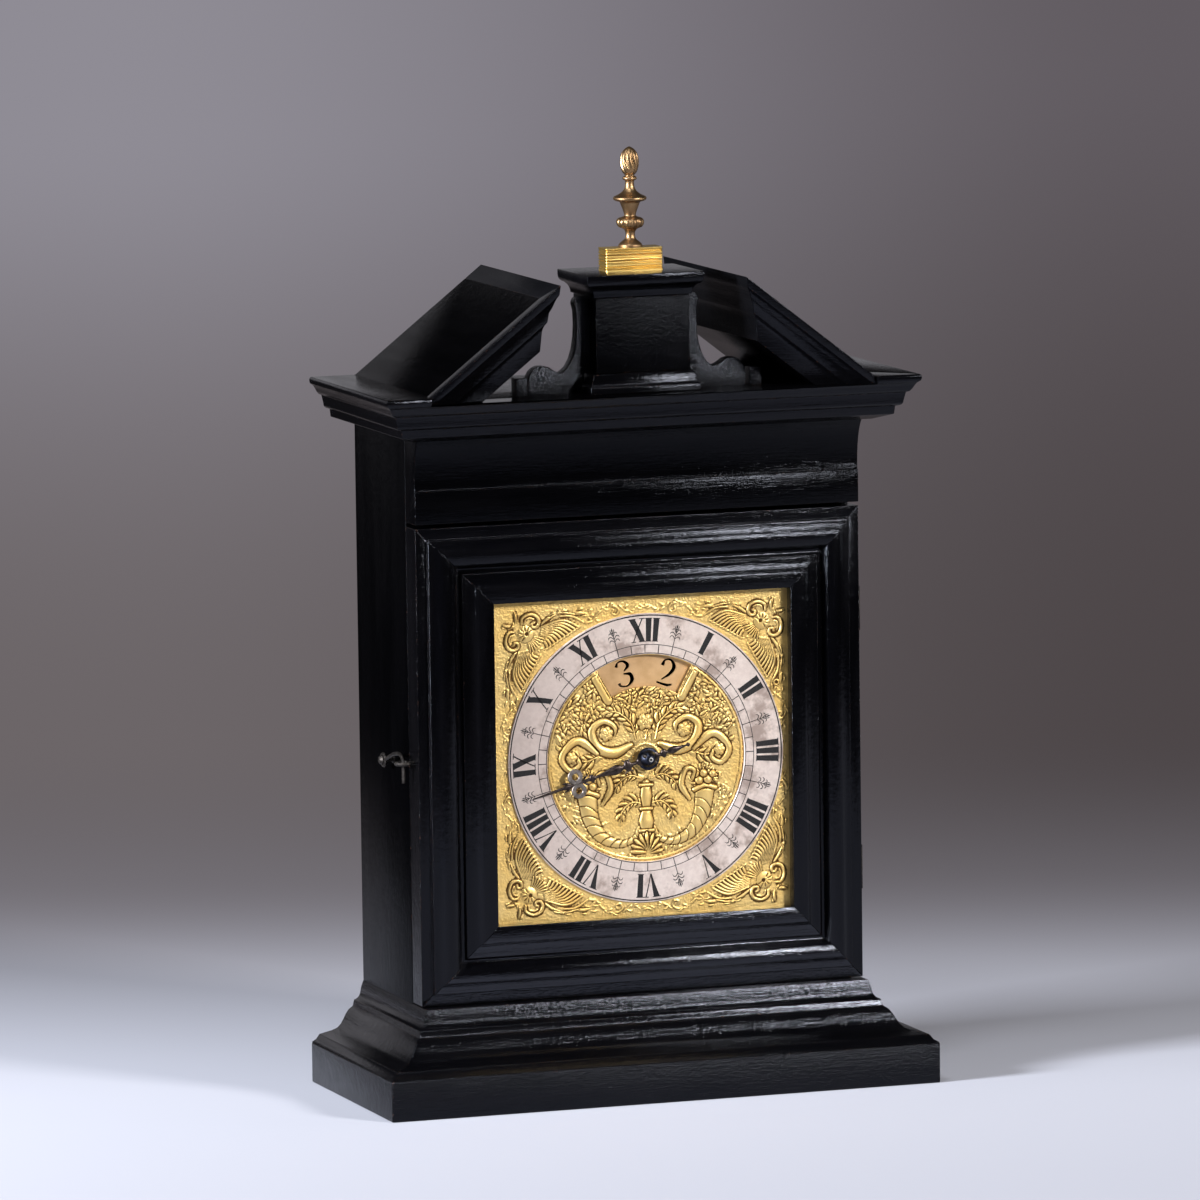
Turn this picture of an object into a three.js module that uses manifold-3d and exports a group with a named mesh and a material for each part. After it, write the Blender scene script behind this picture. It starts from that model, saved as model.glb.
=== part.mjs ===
// Night clock: a table clock in an ebonised case, with a pierced hour disc that a lamp lights from behind.
// Millimetres, +X to the right, +Y to the back, +Z up. The origin is the centre of the plinth's underside.
import * as THREE from 'three';
import { mergeVertices } from 'three/addons/utils/BufferGeometryUtils.js';
import Module from 'manifold-3d';

const wasm = await Module();
wasm.setup();

// Clearances
const RUN = 0.3; // between a moving piece and what it runs in or past
const SEAT = 0.1; // around a piece fixed in a hole or rebate

// Driving dimensions of the case
const PLINTH = { depth: 152, height: 24 };
const BOARD = 12; // carcase boards
const BACK_BOARD = 10;
const CASE = { width: 274.4, sill: 25.4 }; // the sill rail and the frieze's crown stand before the boards
const BASE_MOULDING = { height: 35, projection: 32.8 };
const DOOR = { height: 280.2, thickness: 17, member: 45.4, relief: 7, reveal: 7, rebate: 4 };
const DOOR_GAP = { side: 0.3, bottom: 0.5, top: 2.3 };
const FRIEZE = { height: 50, board: 18, fascia: 19.4, fillet: 1.2, hollow: 8 };
const CORNICE = { height: 27.4, projection: 27.5, crown: 5 }; // the crown runs up the pediment
const PEDIMENT = { inner: 57, foot: 1.1, beam: 31.3, moulding: 9.9, setback: 2.7, rise: 61.6 };
const PEDIMENT_BLOCK = { beside: 1.6, width: 7, depth: 9, before: 3, height: 10.6 };
const SMOKE_HOLE = { radius: 16 };

// Driving dimensions of the pedestal and finial
const PEDESTAL = { behind: 15.7, base: 34, baseHeight: 11.6, die: 29, dieDepth: 19.5, dieHeight: 44.5 };
// Heights on the pedestal's base as shares of its height, and how far it steps back as a share of its lip
const PEDESTAL_STEP = { torus: 0.36, shoulder: 0.44, fillet: 0.66, back: 0.3 };
const CAP = { projection: 7.1, root: 1.2, height: 13.5 };
const FRET = { thickness: 8, behind: 6.2, ear: 9.2, waist: 8.2, foot: 38.2, height: 56 };
const REEDED_BLOCK = { width: 35, depth: 14, height: 13.5, reeds: 3, reedDepth: 0.9 };
const FINIAL = { height: 58.6, foot: 7, knop: 8, disc: 9.75, flame: 5.15 };

// Driving dimensions of the dial and what turns with the hand
const DIAL = { right: 2.6, below: 1.6, plate: 1.5 }; // the dial sits this far off the opening's centre
const RING = { margin: 6.4, band: 24.2, thickness: 1.5 };
const APERTURE = { lip: 0.6, depth: 18.6, halfAngle: 29 * Math.PI / 180 };
const DISC = { cover: 2.9, thickness: 1.2, gap: 0.8, numeralHeight: 16.2, stroke: 1.8 };
const HAND_ANGLE = 254.5 * Math.PI / 180;
const HAND = { gap: 2.4, thickness: 1.3, boss: 6.4, pastRing: 12.8, tail: 27, loop: 4.6 };
const HOUR_ARBOR = { radius: 2.5, front: 2.1, flange: 6, shoulder: 1.2 };
const COLLET = { radius: 5.2, crown: 3.6, height: 2, rim: 0.8 };
const TAPER_PIN = { length: 9.5, thick: 0.95, thin: 0.6, angle: 118 * Math.PI / 180, lead: 2.4 };

// Driving dimensions of the movement
const FRAME = { gap: 4.6, plate: 2.5, between: 32.5, below: 72, above: 34 };
const PILLAR = { radius: 3, inset: 5.5, foot: 2.7, clear: 1.6 };
const HOUR_TRAIN = { module: 1.125, wheel: 32, report: 32, thickness: 2, clear: 1 };
const GREAT_TRAIN = { module: 1.3, wheel: 48, pinion: 8, thickness: 2, clear: 2 };
const SECOND_TRAIN = { module: 1, wheel: 48, pinion: 8, thickness: 1.5, clear: 1.2 };
const SECOND_DIRECTION = -60 * Math.PI / 180; // clockwise from 12 o'clock, seen from the front
const ESCAPE_DIRECTION = 22 * Math.PI / 180;
const ESCAPE = { radius: 11.5, teeth: 20, thickness: 1.5, behind: 12.5, root: 2.3 };
const ARBOR = { radius: 1.5, pivot: 1.1 };
const BARREL = { radius: 21, wall: 1.5, length: 18.5, cap: 1.2, sleeve: 3 };
const MAINSPRING = { thickness: 0.6, turns: 4, inner: 4.2, clear: 2, sides: 12 };
const WINDING = { radius: 3, square: 4.4, squareLength: 10.5, hook: 1.2, hookLength: 4 };
const RATCHET = { radius: 10, teeth: 12, depth: 1.8, thickness: 2, clear: 0.8 };
const CLICK = { tooth: -2, reach: 7, radius: 2.6, stem: 1.6, nose: 1.4 };
const PENDULUM = { length: 95, bob: 13, bobThickness: 6, rod: 1.2, boss: 2, clear: 2.5 };
const PENDULUM_SWING = 4 * Math.PI / 180;
const PALLET = { clear: 0.35, thickness: 2.5, depth: 3.6, width: 1.6, drop: 5, side: 0.5 };
const COCK = { width: 10, foot: 4.5, arm: 2.5, below: 4.5, clear: 1 };

// Driving dimensions of the hinges, the hook and the lamp
const HINGE = { height: 26, leaf: 1.2, knuckle: 3.2, pin: 1.5, leafDepth: 15, drop: 63, standOff: 0.3 };
const HOOK = { up: 140, back: 28.8, wire: 1.1, eye: 3.4, reach: 37, out: 6.3, rise: 7, drop: 9 };
const EYE = { ring: 4.3, wire: 1.2, above: 2.5 };
const STUD = { radius: 1.5, washer: 1, washerThickness: 0.8, head: 3, headThickness: 1.5 };
const LAMP = { radius: 17, height: 26, shoulder: 4, spout: 4, spoutHeight: 9, wick: 2 };
const LAMP_PLACE = { before: 22, aboveDial: 9 }; // before the back board, above the dial's centre
const BRACKET = { width: 44, thickness: 3, flange: 30 };

// Planes that follow from them
const BACK = PLINTH.depth / 2;
const CASE_HALF = CASE.width / 2;
const ROOT_FRONT = BASE_MOULDING.projection - BACK;
const CASE_FRONT = ROOT_FRONT + CASE.sill;
const BASE_TOP = PLINTH.height + BASE_MOULDING.height;
const DOOR_BOTTOM = BASE_TOP + DOOR_GAP.bottom;
const DOOR_TOP = DOOR_BOTTOM + DOOR.height;
const DOOR_BACK = CASE_FRONT - DOOR_GAP.side;
const DOOR_FRONT = DOOR_BACK - DOOR.thickness;
const SIGHT_FRONT = DOOR_FRONT - DOOR.relief;
const FRIEZE_BOTTOM = DOOR_TOP + DOOR_GAP.top;
const FRIEZE_TOP = FRIEZE_BOTTOM + FRIEZE.height;
const TOP = FRIEZE_TOP + CORNICE.height;
const SHELF = TOP - CORNICE.crown; // between the feet of the pediment the top lies lower
const BOARD_TOP = SHELF - BOARD;
const INNER_HALF = CASE_HALF - BOARD;
const INNER_BACK = BACK - BACK_BOARD;
const DIAL_FRONT = SIGHT_FRONT + DOOR.reveal;
const DIAL_BACK = DIAL_FRONT + DIAL.plate;
const DISC_FRONT = DIAL_BACK + DISC.gap;
const DISC_BACK = DISC_FRONT + DISC.thickness;
const HAND_BACK = DIAL_FRONT - RING.thickness - HAND.gap;
const HAND_FRONT = HAND_BACK - HAND.thickness;
const FRAME_FRONT = DISC_BACK + FRAME.gap;
const FRAME_BACK = FRAME_FRONT + FRAME.plate;
const REAR_FRONT = FRAME_BACK + FRAME.between;
const REAR_BACK = REAR_FRONT + FRAME.plate;
const PENDULUM_Y = REAR_BACK + PENDULUM.clear + PENDULUM.bobThickness / 2;
const COCK_ARM_FRONT = PENDULUM_Y + PENDULUM.bobThickness / 2 + COCK.clear;
const COCK_ARM_BACK = COCK_ARM_FRONT + COCK.arm;
const LAMP_Y = INNER_BACK - LAMP_PLACE.before;
const PEDESTAL_Y = ROOT_FRONT + PEDESTAL.behind; // on the top board, behind its front edge
const FRET_FRONT = ROOT_FRONT + FRET.behind;

// The dial is drawn in the largest circle that the door's opening takes
const DIAL_X = DIAL.right;
const DIAL_Z = DOOR_BOTTOM + DOOR.height / 2 - DIAL.below;
const OPENING_HALF = Math.min(CASE_HALF, DOOR.height / 2) - DOOR.member;
const RING_OUTER = OPENING_HALF - RING.margin;
const RING_INNER = RING_OUTER - RING.band;
const APERTURE_OUTER = RING_INNER - APERTURE.lip;
const APERTURE_INNER = APERTURE_OUTER - APERTURE.depth;
const DISC_RADIUS = APERTURE_OUTER + DISC.cover;
const NUMERAL_RADIUS = (APERTURE_INNER + APERTURE_OUTER) / 2;
const HAND_LENGTH = RING_INNER + HAND.pastRing;

// The feet of the movement stand just outside the disc
const FOOT_HEIGHT = FRAME.above - PILLAR.inset;
const FOOT_REACH = Math.sqrt((DISC_RADIUS + PILLAR.foot + PILLAR.clear) ** 2 - FOOT_HEIGHT ** 2);
const FRAME_HALF = FOOT_REACH + PILLAR.inset;

// Materials
const finish = (color, roughness, metalness) => ({ color, roughness, metalness });
const EBONISED = finish(0x17120f, 0.35, 0);
const EBONISED_WORN = finish(0x241812, 0.5, 0);
const GILT = finish(0xb98a3c, 0.35, 1);
const BRASS = finish(0xa98645, 0.35, 1);
const SILVERED = finish(0xb9b2a0, 0.4, 0.9);
const BLUED = finish(0x1a1d26, 0.3, 1);
const IRON = finish(0x3b3733, 0.5, 1);
const COPPER = finish(0x9c6650, 0.4, 1);
const LEAD = finish(0x6b6a68, 0.6, 1);

const object = new THREE.Group();

function add(name, geometry, look) {
  const mesh = new THREE.Mesh(geometry, new THREE.MeshStandardMaterial(look));
  mesh.name = name;
  object.add(mesh);
}

// Shared vertices are merged, slivers dropped and faces turned outwards
function tidy(geometry) {
  const bare = geometry.clone();
  bare.deleteAttribute('normal');
  bare.deleteAttribute('uv');
  const merged = mergeVertices(bare, 1e-4);
  const index = merged.index.array;
  const kept = [];
  for (let i = 0; i < index.length; i += 3) {
    const [a, b, c] = [index[i], index[i + 1], index[i + 2]];
    if (a !== b && b !== c && c !== a) kept.push(a, b, c);
  }
  if (volumeOf(merged.attributes.position, kept) < 0) kept.reverse();
  merged.setIndex(kept);
  return merged;
}

function volumeOf(position, index) {
  const [a, b, c] = [new THREE.Vector3(), new THREE.Vector3(), new THREE.Vector3()];
  let sum = 0;
  for (let i = 0; i < index.length; i += 3) {
    a.fromBufferAttribute(position, index[i]);
    b.fromBufferAttribute(position, index[i + 1]);
    c.fromBufferAttribute(position, index[i + 2]);
    sum += a.dot(b.cross(c)) / 6;
  }
  return sum;
}

function solidOf(geometry) {
  const closed = tidy(geometry);
  const vertProperties = new Float32Array(closed.attributes.position.array);
  const triVerts = new Uint32Array(closed.index.array);
  return new wasm.Manifold(new wasm.Mesh({ numProp: 3, vertProperties, triVerts }));
}

function geometryOf(manifold) {
  const mesh = manifold.getMesh();
  const geometry = new THREE.BufferGeometry();
  geometry.setAttribute('position', new THREE.BufferAttribute(new Float32Array(mesh.vertProperties), 3));
  geometry.setIndex(Array.from(mesh.triVerts));
  return geometry;
}

const join = (first, ...others) =>
  geometryOf(others.reduce((sum, other) => sum.add(solidOf(other)), solidOf(first)));
const cut = (first, ...others) =>
  geometryOf(others.reduce((sum, other) => sum.subtract(solidOf(other)), solidOf(first)));

// A block between two corners
function box([x0, y0, z0], [x1, y1, z1]) {
  const geometry = new THREE.BoxGeometry(Math.abs(x1 - x0), Math.abs(y1 - y0), Math.abs(z1 - z0));
  return tidy(geometry.translate((x0 + x1) / 2, (y0 + y1) / 2, (z0 + z1) / 2));
}

// A closed outline, with holes if any, carried from one end to the other; each end maps (u, v) to a point
function prism(outline, startAt, endAt, holes = []) {
  const flat = [outline, ...holes].flat();
  const vectors = (points) => points.map(([u, v]) => new THREE.Vector2(u, v));
  const cap = THREE.ShapeUtils.triangulateShape(vectors(outline), holes.map(vectors));
  const count = flat.length;
  const points = [...flat.map(([u, v]) => startAt(u, v)), ...flat.map(([u, v]) => endAt(u, v))];
  const index = [];
  for (const [a, b, c] of cap) {
    index.push(a, c, b, count + a, count + b, count + c);
  }
  let first = 0;
  for (const loop of [outline, ...holes]) {
    const along = THREE.ShapeUtils.isClockWise(vectors(loop)) ? -1 : 1;
    const sense = (loop === outline ? 1 : -1) * along;
    for (let i = 0; i < loop.length; i += 1) {
      const a = first + i;
      const b = first + (i + 1) % loop.length;
      if (sense > 0) index.push(a, b, count + b, a, count + b, count + a);
      else index.push(b, a, count + a, b, count + a, count + b);
    }
    first += loop.length;
  }
  const geometry = new THREE.BufferGeometry();
  geometry.setAttribute('position', new THREE.Float32BufferAttribute(points.flat(), 3));
  geometry.setIndex(index);
  return tidy(geometry);
}

// Outlines in the XZ plane given thickness along Y, and in the YZ plane given thickness along X
const slabY = (outline, y0, y1, holes) => prism(outline, (u, v) => [u, y0, v], (u, v) => [u, y1, v], holes);
const slabX = (outline, x0, x1, holes) => prism(outline, (u, v) => [x0, u, v], (u, v) => [x1, u, v], holes);

// A profile of [radius, place] pairs turned about an axis through a point
function turned(profile, axis, [x, y, z], segments = 16) {
  const points = profile.map(([radius, place]) => new THREE.Vector2(radius, place));
  const geometry = new THREE.LatheGeometry(points, segments);
  if (axis === 'z') geometry.rotateX(Math.PI / 2);
  if (axis === 'x') geometry.rotateZ(-Math.PI / 2);
  return tidy(geometry.translate(x, y, z));
}

// A round bar between two places on its axis
const bar = (radius, from, to, axis, centre, segments) =>
  turned([[0, from], [radius, from], [radius, to], [0, to]], axis, centre, segments);

// Points along an arc in the plane of the dial; angles run clockwise from 12 o'clock, seen from the front
const onClock = ([x, z], radius, angle) => [x + radius * Math.sin(angle), z + radius * Math.cos(angle)];
const steps = (count) => Array.from({ length: count }, (_, i) => i);
const circle = (centre, radius, count) =>
  steps(count).map((i) => onClock(centre, radius, -2 * Math.PI * i / count));
const arc = (centre, radius, from, to, count) =>
  steps(count + 1).map((i) => onClock(centre, radius, from + (to - from) * i / count));
const mirrored = (outline) => outline.map(([u, v]) => [-u, v]).reverse();

// A path's points, for outlines with straight and round stretches
const outlineOf = (path, divisions) => path.getPoints(divisions).map((point) => [point.x, point.y]);

const SIDES = [{ side: 'left', sign: -1 }, { side: 'right', sign: 1 }];
const dialCentre = [DIAL_X, DIAL_Z];

// Carcase

function addCarcase() {
  const half = CASE_HALF + BASE_MOULDING.projection;
  add('plinth_board', box([-half, -BACK, 0], [half, BACK, PLINTH.height]), EBONISED_WORN);
  for (const { side, sign } of SIDES) {
    const board = box(
      [sign * INNER_HALF, CASE_FRONT, PLINTH.height],
      [sign * CASE_HALF, BACK, BOARD_TOP],
    );
    add(`side_board_${side}`, board, EBONISED);
  }
  const backCorner = [-INNER_HALF, INNER_BACK, PLINTH.height];
  add('back_board', box(backCorner, [INNER_HALF, BACK, BOARD_TOP]), EBONISED);
  const sill = box([-CASE_HALF, ROOT_FRONT, PLINTH.height], [CASE_HALF, CASE_FRONT, BASE_TOP]);
  add('front_sill', sill, EBONISED);
  const top = box([-CASE_HALF, ROOT_FRONT, BOARD_TOP], [CASE_HALF, BACK, SHELF]);
  const hole = bar(SMOKE_HOLE.radius, BOARD_TOP - BOARD, TOP + BOARD, 'z', [0, LAMP_Y, 0], 24);
  add('top_board', cut(top, hole), EBONISED);
  add('frieze_board', slabX(friezeOutline(), -CASE_HALF, CASE_HALF), EBONISED);
}

// The frieze board seen from the side: fascia below, then a hollow that swells out to the cornice's root
function friezeOutline() {
  const front = CASE_FRONT - FRIEZE.board;
  const edge = FRIEZE_BOTTOM + FRIEZE.fascia;
  const path = new THREE.Path();
  path.moveTo(CASE_FRONT, FRIEZE_BOTTOM);
  path.lineTo(CASE_FRONT, BOARD_TOP);
  path.lineTo(ROOT_FRONT, BOARD_TOP);
  path.lineTo(ROOT_FRONT, FRIEZE_TOP);
  path.quadraticCurveTo(front + FRIEZE.fillet, FRIEZE_TOP - FRIEZE.hollow, front + FRIEZE.fillet, edge);
  path.lineTo(front, edge);
  path.lineTo(front, FRIEZE_BOTTOM);
  return outlineOf(path, 6);
}

// Mouldings that run round the front and both sides, mitred at the front corners

function addMitredMoulding(name, profile, look, shape = (front) => front) {
  const corner = (u, v, sign) => [sign * (CASE_HALF + u), ROOT_FRONT - u, v];
  const front = prism(profile, (u, v) => corner(u, v, -1), (u, v) => corner(u, v, 1));
  add(`${name}_front`, shape(front), look);
  for (const { side, sign } of SIDES) {
    const run = prism(profile, (u, v) => corner(u, v, sign), (u, v) => [sign * (CASE_HALF + u), BACK, v]);
    add(`${name}_${side}`, run, look);
  }
}

function baseProfile() {
  const { height, projection } = BASE_MOULDING;
  const at = (u, v) => [u * projection, PLINTH.height + v * height];
  const path = new THREE.Path();
  path.moveTo(...at(0, 0));
  path.lineTo(...at(1, 0));
  path.lineTo(...at(0.91, 0.05));
  path.lineTo(...at(0.85, 0.13));
  path.lineTo(...at(0.61, 0.18));
  path.bezierCurveTo(...at(0.36, 0.22), ...at(0.4, 0.5), ...at(0.21, 0.57));
  path.lineTo(...at(0.18, 0.68));
  path.quadraticCurveTo(...at(0.06, 0.7), ...at(0.05, 0.87));
  path.lineTo(...at(0, 1));
  return outlineOf(path, 6);
}

// The crown of the cornice stops at the pediment's feet, so between them the front is cut down to the shelf
function withoutCrown(front) {
  const near = [-CASE_HALF, ROOT_FRONT - 2 * CORNICE.projection, SHELF];
  return cut(front, box(near, [CASE_HALF, ROOT_FRONT + BOARD, TOP + CORNICE.crown]));
}

function corniceProfile() {
  const { height, projection } = CORNICE;
  const at = (u, v) => [u * projection, FRIEZE_TOP + v * height];
  const path = new THREE.Path();
  path.moveTo(...at(0, 0));
  path.lineTo(...at(0.17, 0));
  path.lineTo(...at(0.53, 0.12));
  path.lineTo(...at(0.55, 0.3));
  path.quadraticCurveTo(...at(0.69, 0.3), ...at(0.69, 0.42));
  path.lineTo(...at(0.73, 0.6));
  path.bezierCurveTo(...at(0.86, 0.6), ...at(0.84, 0.8), ...at(0.98, 0.86));
  path.quadraticCurveTo(...at(1.02, 0.96), ...at(0.96, 1));
  path.lineTo(...at(0, 1));
  return outlineOf(path, 5);
}

// Broken pediment: each half is a block through the whole depth with mouldings on its front and inner end

function addPediment() {
  const front = ROOT_FRONT - CORNICE.projection + PEDIMENT.setback;
  const crown = TOP + PEDIMENT.rise;
  const slope = PEDIMENT.rise / (CASE_HALF - PEDIMENT.foot - PEDIMENT.inner);
  const topAt = (x) => crown - slope * (x - PEDIMENT.inner);
  const slopeEnd = (drop, level) => PEDIMENT.inner + (crown - drop - level) / slope;
  const inner = PEDIMENT.inner + PEDIMENT.moulding;
  const block = [
    [inner, topAt(inner)],
    [slopeEnd(0, TOP), TOP],
    [CASE_HALF, TOP],
    [CASE_HALF, SHELF],
    [slopeEnd(PEDIMENT.beam, SHELF), SHELF],
    [inner, topAt(inner) - PEDIMENT.beam],
  ];
  const profile = pedimentProfile();
  const mitre = (q, h, sign) =>
    [sign * (PEDIMENT.inner + q), front + q, topAt(PEDIMENT.inner + q) - h];
  for (const { side, sign } of SIDES) {
    const outline = sign > 0 ? block : mirrored(block);
    add(`pediment_core_${side}`, slabY(outline, front + PEDIMENT.moulding, BACK), EBONISED);
    const raking = prism(
      profile,
      (q, h) => mitre(q, h, sign),
      (q, h) => [sign * slopeEnd(h, SHELF), front + q, SHELF],
    );
    const beyond = box(
      [sign * CASE_HALF, front - CORNICE.projection, FRIEZE_TOP],
      [sign * (CASE_HALF + CORNICE.projection), ROOT_FRONT, TOP + CORNICE.crown],
    );
    add(`rake_moulding_${side}`, cut(raking, beyond), EBONISED);
    const inward = prism(profile, (q, h) => mitre(q, h, sign), (q, h) => {
      const [x, , z] = mitre(q, h, sign);
      return [x, BACK, z];
    });
    add(`return_moulding_${side}`, inward, EBONISED);
    const blockX = PEDESTAL.die + FRET.foot + PEDIMENT_BLOCK.beside;
    const near = [sign * blockX, FRET_FRONT - PEDIMENT_BLOCK.before, SHELF];
    const far = [
      sign * (blockX + PEDIMENT_BLOCK.width),
      near[1] + PEDIMENT_BLOCK.depth,
      SHELF + PEDIMENT_BLOCK.height,
    ];
    add(`pediment_block_${side}`, box(near, far), EBONISED_WORN);
  }
}

// The moulding's section: how far it falls back against how far below the sloping top
function pedimentProfile() {
  const { moulding, beam } = PEDIMENT;
  const at = (u, v) => [u * moulding, v * beam];
  const path = new THREE.Path();
  path.moveTo(...at(0, 0));
  path.lineTo(...at(0.07, 0.17));
  path.bezierCurveTo(...at(0.3, 0.2), ...at(0.32, 0.32), ...at(0.56, 0.38));
  path.lineTo(...at(0.64, 0.54));
  path.quadraticCurveTo(...at(0.84, 0.56), ...at(0.9, 0.66));
  path.lineTo(...at(1, 1));
  path.lineTo(...at(1, 0));
  return outlineOf(path, 5);
}

// Pedestal and finial

// Level rectangles of the pedestal joined one above the other; each level is [half width, half depth, z]
function stack(levels) {
  const corners = [[-1, -1], [1, -1], [1, 1], [-1, 1]];
  const points = levels.flatMap(([w, d, z]) => corners.map(([i, j]) => [i * w, PEDESTAL_Y + j * d, z]));
  const index = [0, 2, 1, 0, 3, 2];
  for (let level = 0; level < levels.length - 1; level += 1) {
    for (let k = 0; k < 4; k += 1) {
      const a = 4 * level + k;
      const b = 4 * level + (k + 1) % 4;
      index.push(a, b, b + 4, a, b + 4, a + 4);
    }
  }
  const last = 4 * (levels.length - 1);
  index.push(last, last + 1, last + 2, last, last + 2, last + 3);
  const geometry = new THREE.BufferGeometry();
  geometry.setAttribute('position', new THREE.Float32BufferAttribute(points.flat(), 3));
  geometry.setIndex(index);
  return tidy(geometry);
}

function addPedestal() {
  const { base, die, dieDepth, baseHeight, dieHeight } = PEDESTAL;
  const { torus, shoulder, fillet, back } = PEDESTAL_STEP;
  const lip = base - die; // the base stands out this far all round
  const dieBottom = SHELF + baseHeight;
  const dieTop = dieBottom + dieHeight;
  const baseLevels = [
    [base, dieDepth + lip, SHELF],
    [base, dieDepth + lip, SHELF + baseHeight * torus],
    [base - lip * back, dieDepth + lip * (1 - back), SHELF + baseHeight * shoulder],
    [base - lip * back, dieDepth + lip * (1 - back), SHELF + baseHeight * fillet],
    [base - 2 * lip * back, dieDepth + lip * (1 - 2 * back), dieBottom],
  ];
  add('pedestal_base', stack(baseLevels), EBONISED);
  add('pedestal_die', stack([[die, dieDepth, dieBottom], [die, dieDepth, dieTop]]), EBONISED_WORN);
  add('pedestal_cap', stack(capLevels(dieTop)), EBONISED);
  for (const { side, sign } of SIDES) {
    const outline = fretOutline();
    const placed = sign > 0 ? outline : mirrored(outline);
    add(`fret_${side}`, slabY(placed, FRET_FRONT, FRET_FRONT + FRET.thickness), EBONISED_WORN);
  }
  addReededBlock(dieTop + CAP.height);
  addFinial(dieTop + CAP.height + REEDED_BLOCK.height);
}

// The cap swells from the die in a hollow, a fillet and a quarter round
function capLevels(bottom) {
  const path = new THREE.Path();
  const swell = CAP.projection - CAP.root;
  const at = (u, v) => [CAP.root + u * swell, bottom + v * CAP.height];
  path.moveTo(...at(0, 0));
  path.quadraticCurveTo(...at(0.05, 0.3), ...at(0.42, 0.42));
  path.lineTo(...at(0.5, 0.46));
  path.quadraticCurveTo(...at(0.98, 0.5), ...at(1, 0.78));
  path.lineTo(...at(1, 1));
  return outlineOf(path, 4).map(([out, z]) => [PEDESTAL.die + out, PEDESTAL.dieDepth + out, z]);
}

// A cut-out bracket board: an ear at the top, a long hollow, and a scroll that ends in a ball on the cornice
function fretOutline() {
  const foot = PEDESTAL.base + SEAT;
  const root = PEDESTAL.die;
  const rest = SHELF + PEDESTAL.baseHeight + SEAT;
  const path = new THREE.Path();
  const step = SHELF + PEDESTAL.baseHeight * PEDESTAL_STEP.shoulder + SEAT;
  const inside = foot - (PEDESTAL.base - PEDESTAL.die) * PEDESTAL_STEP.back;
  path.moveTo(foot, SHELF);
  path.lineTo(foot, step);
  path.lineTo(inside, step);
  path.lineTo(inside, rest);
  path.lineTo(root, rest);
  const at = (u, v) => [root + u * FRET.foot, SHELF + v * FRET.height];
  const ear = FRET.ear / FRET.foot;
  const waist = FRET.waist / FRET.foot;
  path.lineTo(...at(0, 1));
  path.lineTo(...at(ear * 0.7, 1));
  path.quadraticCurveTo(...at(ear, 0.99), ...at(ear, 0.927));
  path.lineTo(...at(waist, 0.854));
  path.bezierCurveTo(...at(waist - 0.03, 0.59), ...at(waist + 0.03, 0.29), ...at(0.46, 0.22));
  path.quadraticCurveTo(...at(0.55, 0.222), ...at(0.66, 0.285));
  path.bezierCurveTo(...at(0.84, 0.335), ...at(1, 0.26), ...at(1, 0.14));
  path.quadraticCurveTo(...at(1.01, 0.05), ...at(0.97, 0));
  return outlineOf(path, 6);
}

// Horizontal reeds run round the block under the finial
function addReededBlock(bottom) {
  const { width, depth, height, reeds, reedDepth } = REEDED_BLOCK;
  const perReed = 6;
  const count = reeds * perReed;
  const levels = steps(count + 1).map((i) => {
    const swell = Math.abs(Math.sin(Math.PI * i / perReed));
    const inset = reedDepth * (1 - swell);
    return [width / 2 - inset, depth / 2 - inset, bottom + height * i / count];
  });
  add('finial_block', stack(levels), GILT);
}

function addFinial(bottom) {
  const { height, foot, knop, disc, flame } = FINIAL;
  const at = (radius, share) => [radius, share * height];
  const profile = [
    at(0, 0), at(foot, 0), at(foot, 0.03), at(0.5 * foot, 0.07), at(0.34 * foot, 0.11),
    at(0.5 * knop, 0.15), at(knop, 0.2), at(knop, 0.25), at(0.55 * knop, 0.29),
    at(0.34 * disc, 0.305), at(0.4 * disc, 0.38), at(0.51 * disc, 0.45), at(disc, 0.468),
    at(disc, 0.49), at(0.5 * disc, 0.52), at(0.31 * disc, 0.56), at(0.26 * disc, 0.65),
    at(0.4 * disc, 0.69), at(0.43 * disc, 0.71), at(0.4 * disc, 0.73),
    at(0.62 * flame, 0.74), at(flame, 0.85), at(0.84 * flame, 0.92), at(0.4 * flame, 0.975), at(0, 1),
  ];
  add('finial', turned(profile, 'z', [0, PEDESTAL_Y, bottom], 16), GILT);
}

// Door

// The run moulding, as inward distance from the door's edge against forward distance from its front corner
function doorProfile() {
  const { member, relief, rebate } = DOOR;
  const at = (u, v) => [u * member, DOOR_FRONT - v * relief];
  const path = new THREE.Path();
  path.moveTo(0, DOOR_BACK);
  path.lineTo(...at(0, 0));
  path.lineTo(...at(0.15, 0));
  path.lineTo(...at(0.155, 0.36));
  path.quadraticCurveTo(...at(0.24, 0.4), ...at(0.29, 0.72));
  path.lineTo(...at(0.31, 0.8));
  path.quadraticCurveTo(...at(0.4, 1), ...at(0.475, 0.76));
  path.quadraticCurveTo(...at(0.51, 0.5), ...at(0.53, 0.08));
  path.lineTo(...at(0.56, 0.08));
  path.quadraticCurveTo(...at(0.585, 0.1), ...at(0.6, 0.4));
  path.quadraticCurveTo(...at(0.75, 0.46), ...at(0.79, 0.9));
  path.lineTo(...at(0.82, 1));
  path.lineTo(...at(1, 1));
  path.lineTo(member, DIAL_FRONT);
  path.lineTo(member - rebate, DIAL_FRONT);
  path.lineTo(member - rebate, DOOR_BACK);
  return outlineOf(path, 4);
}

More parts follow.
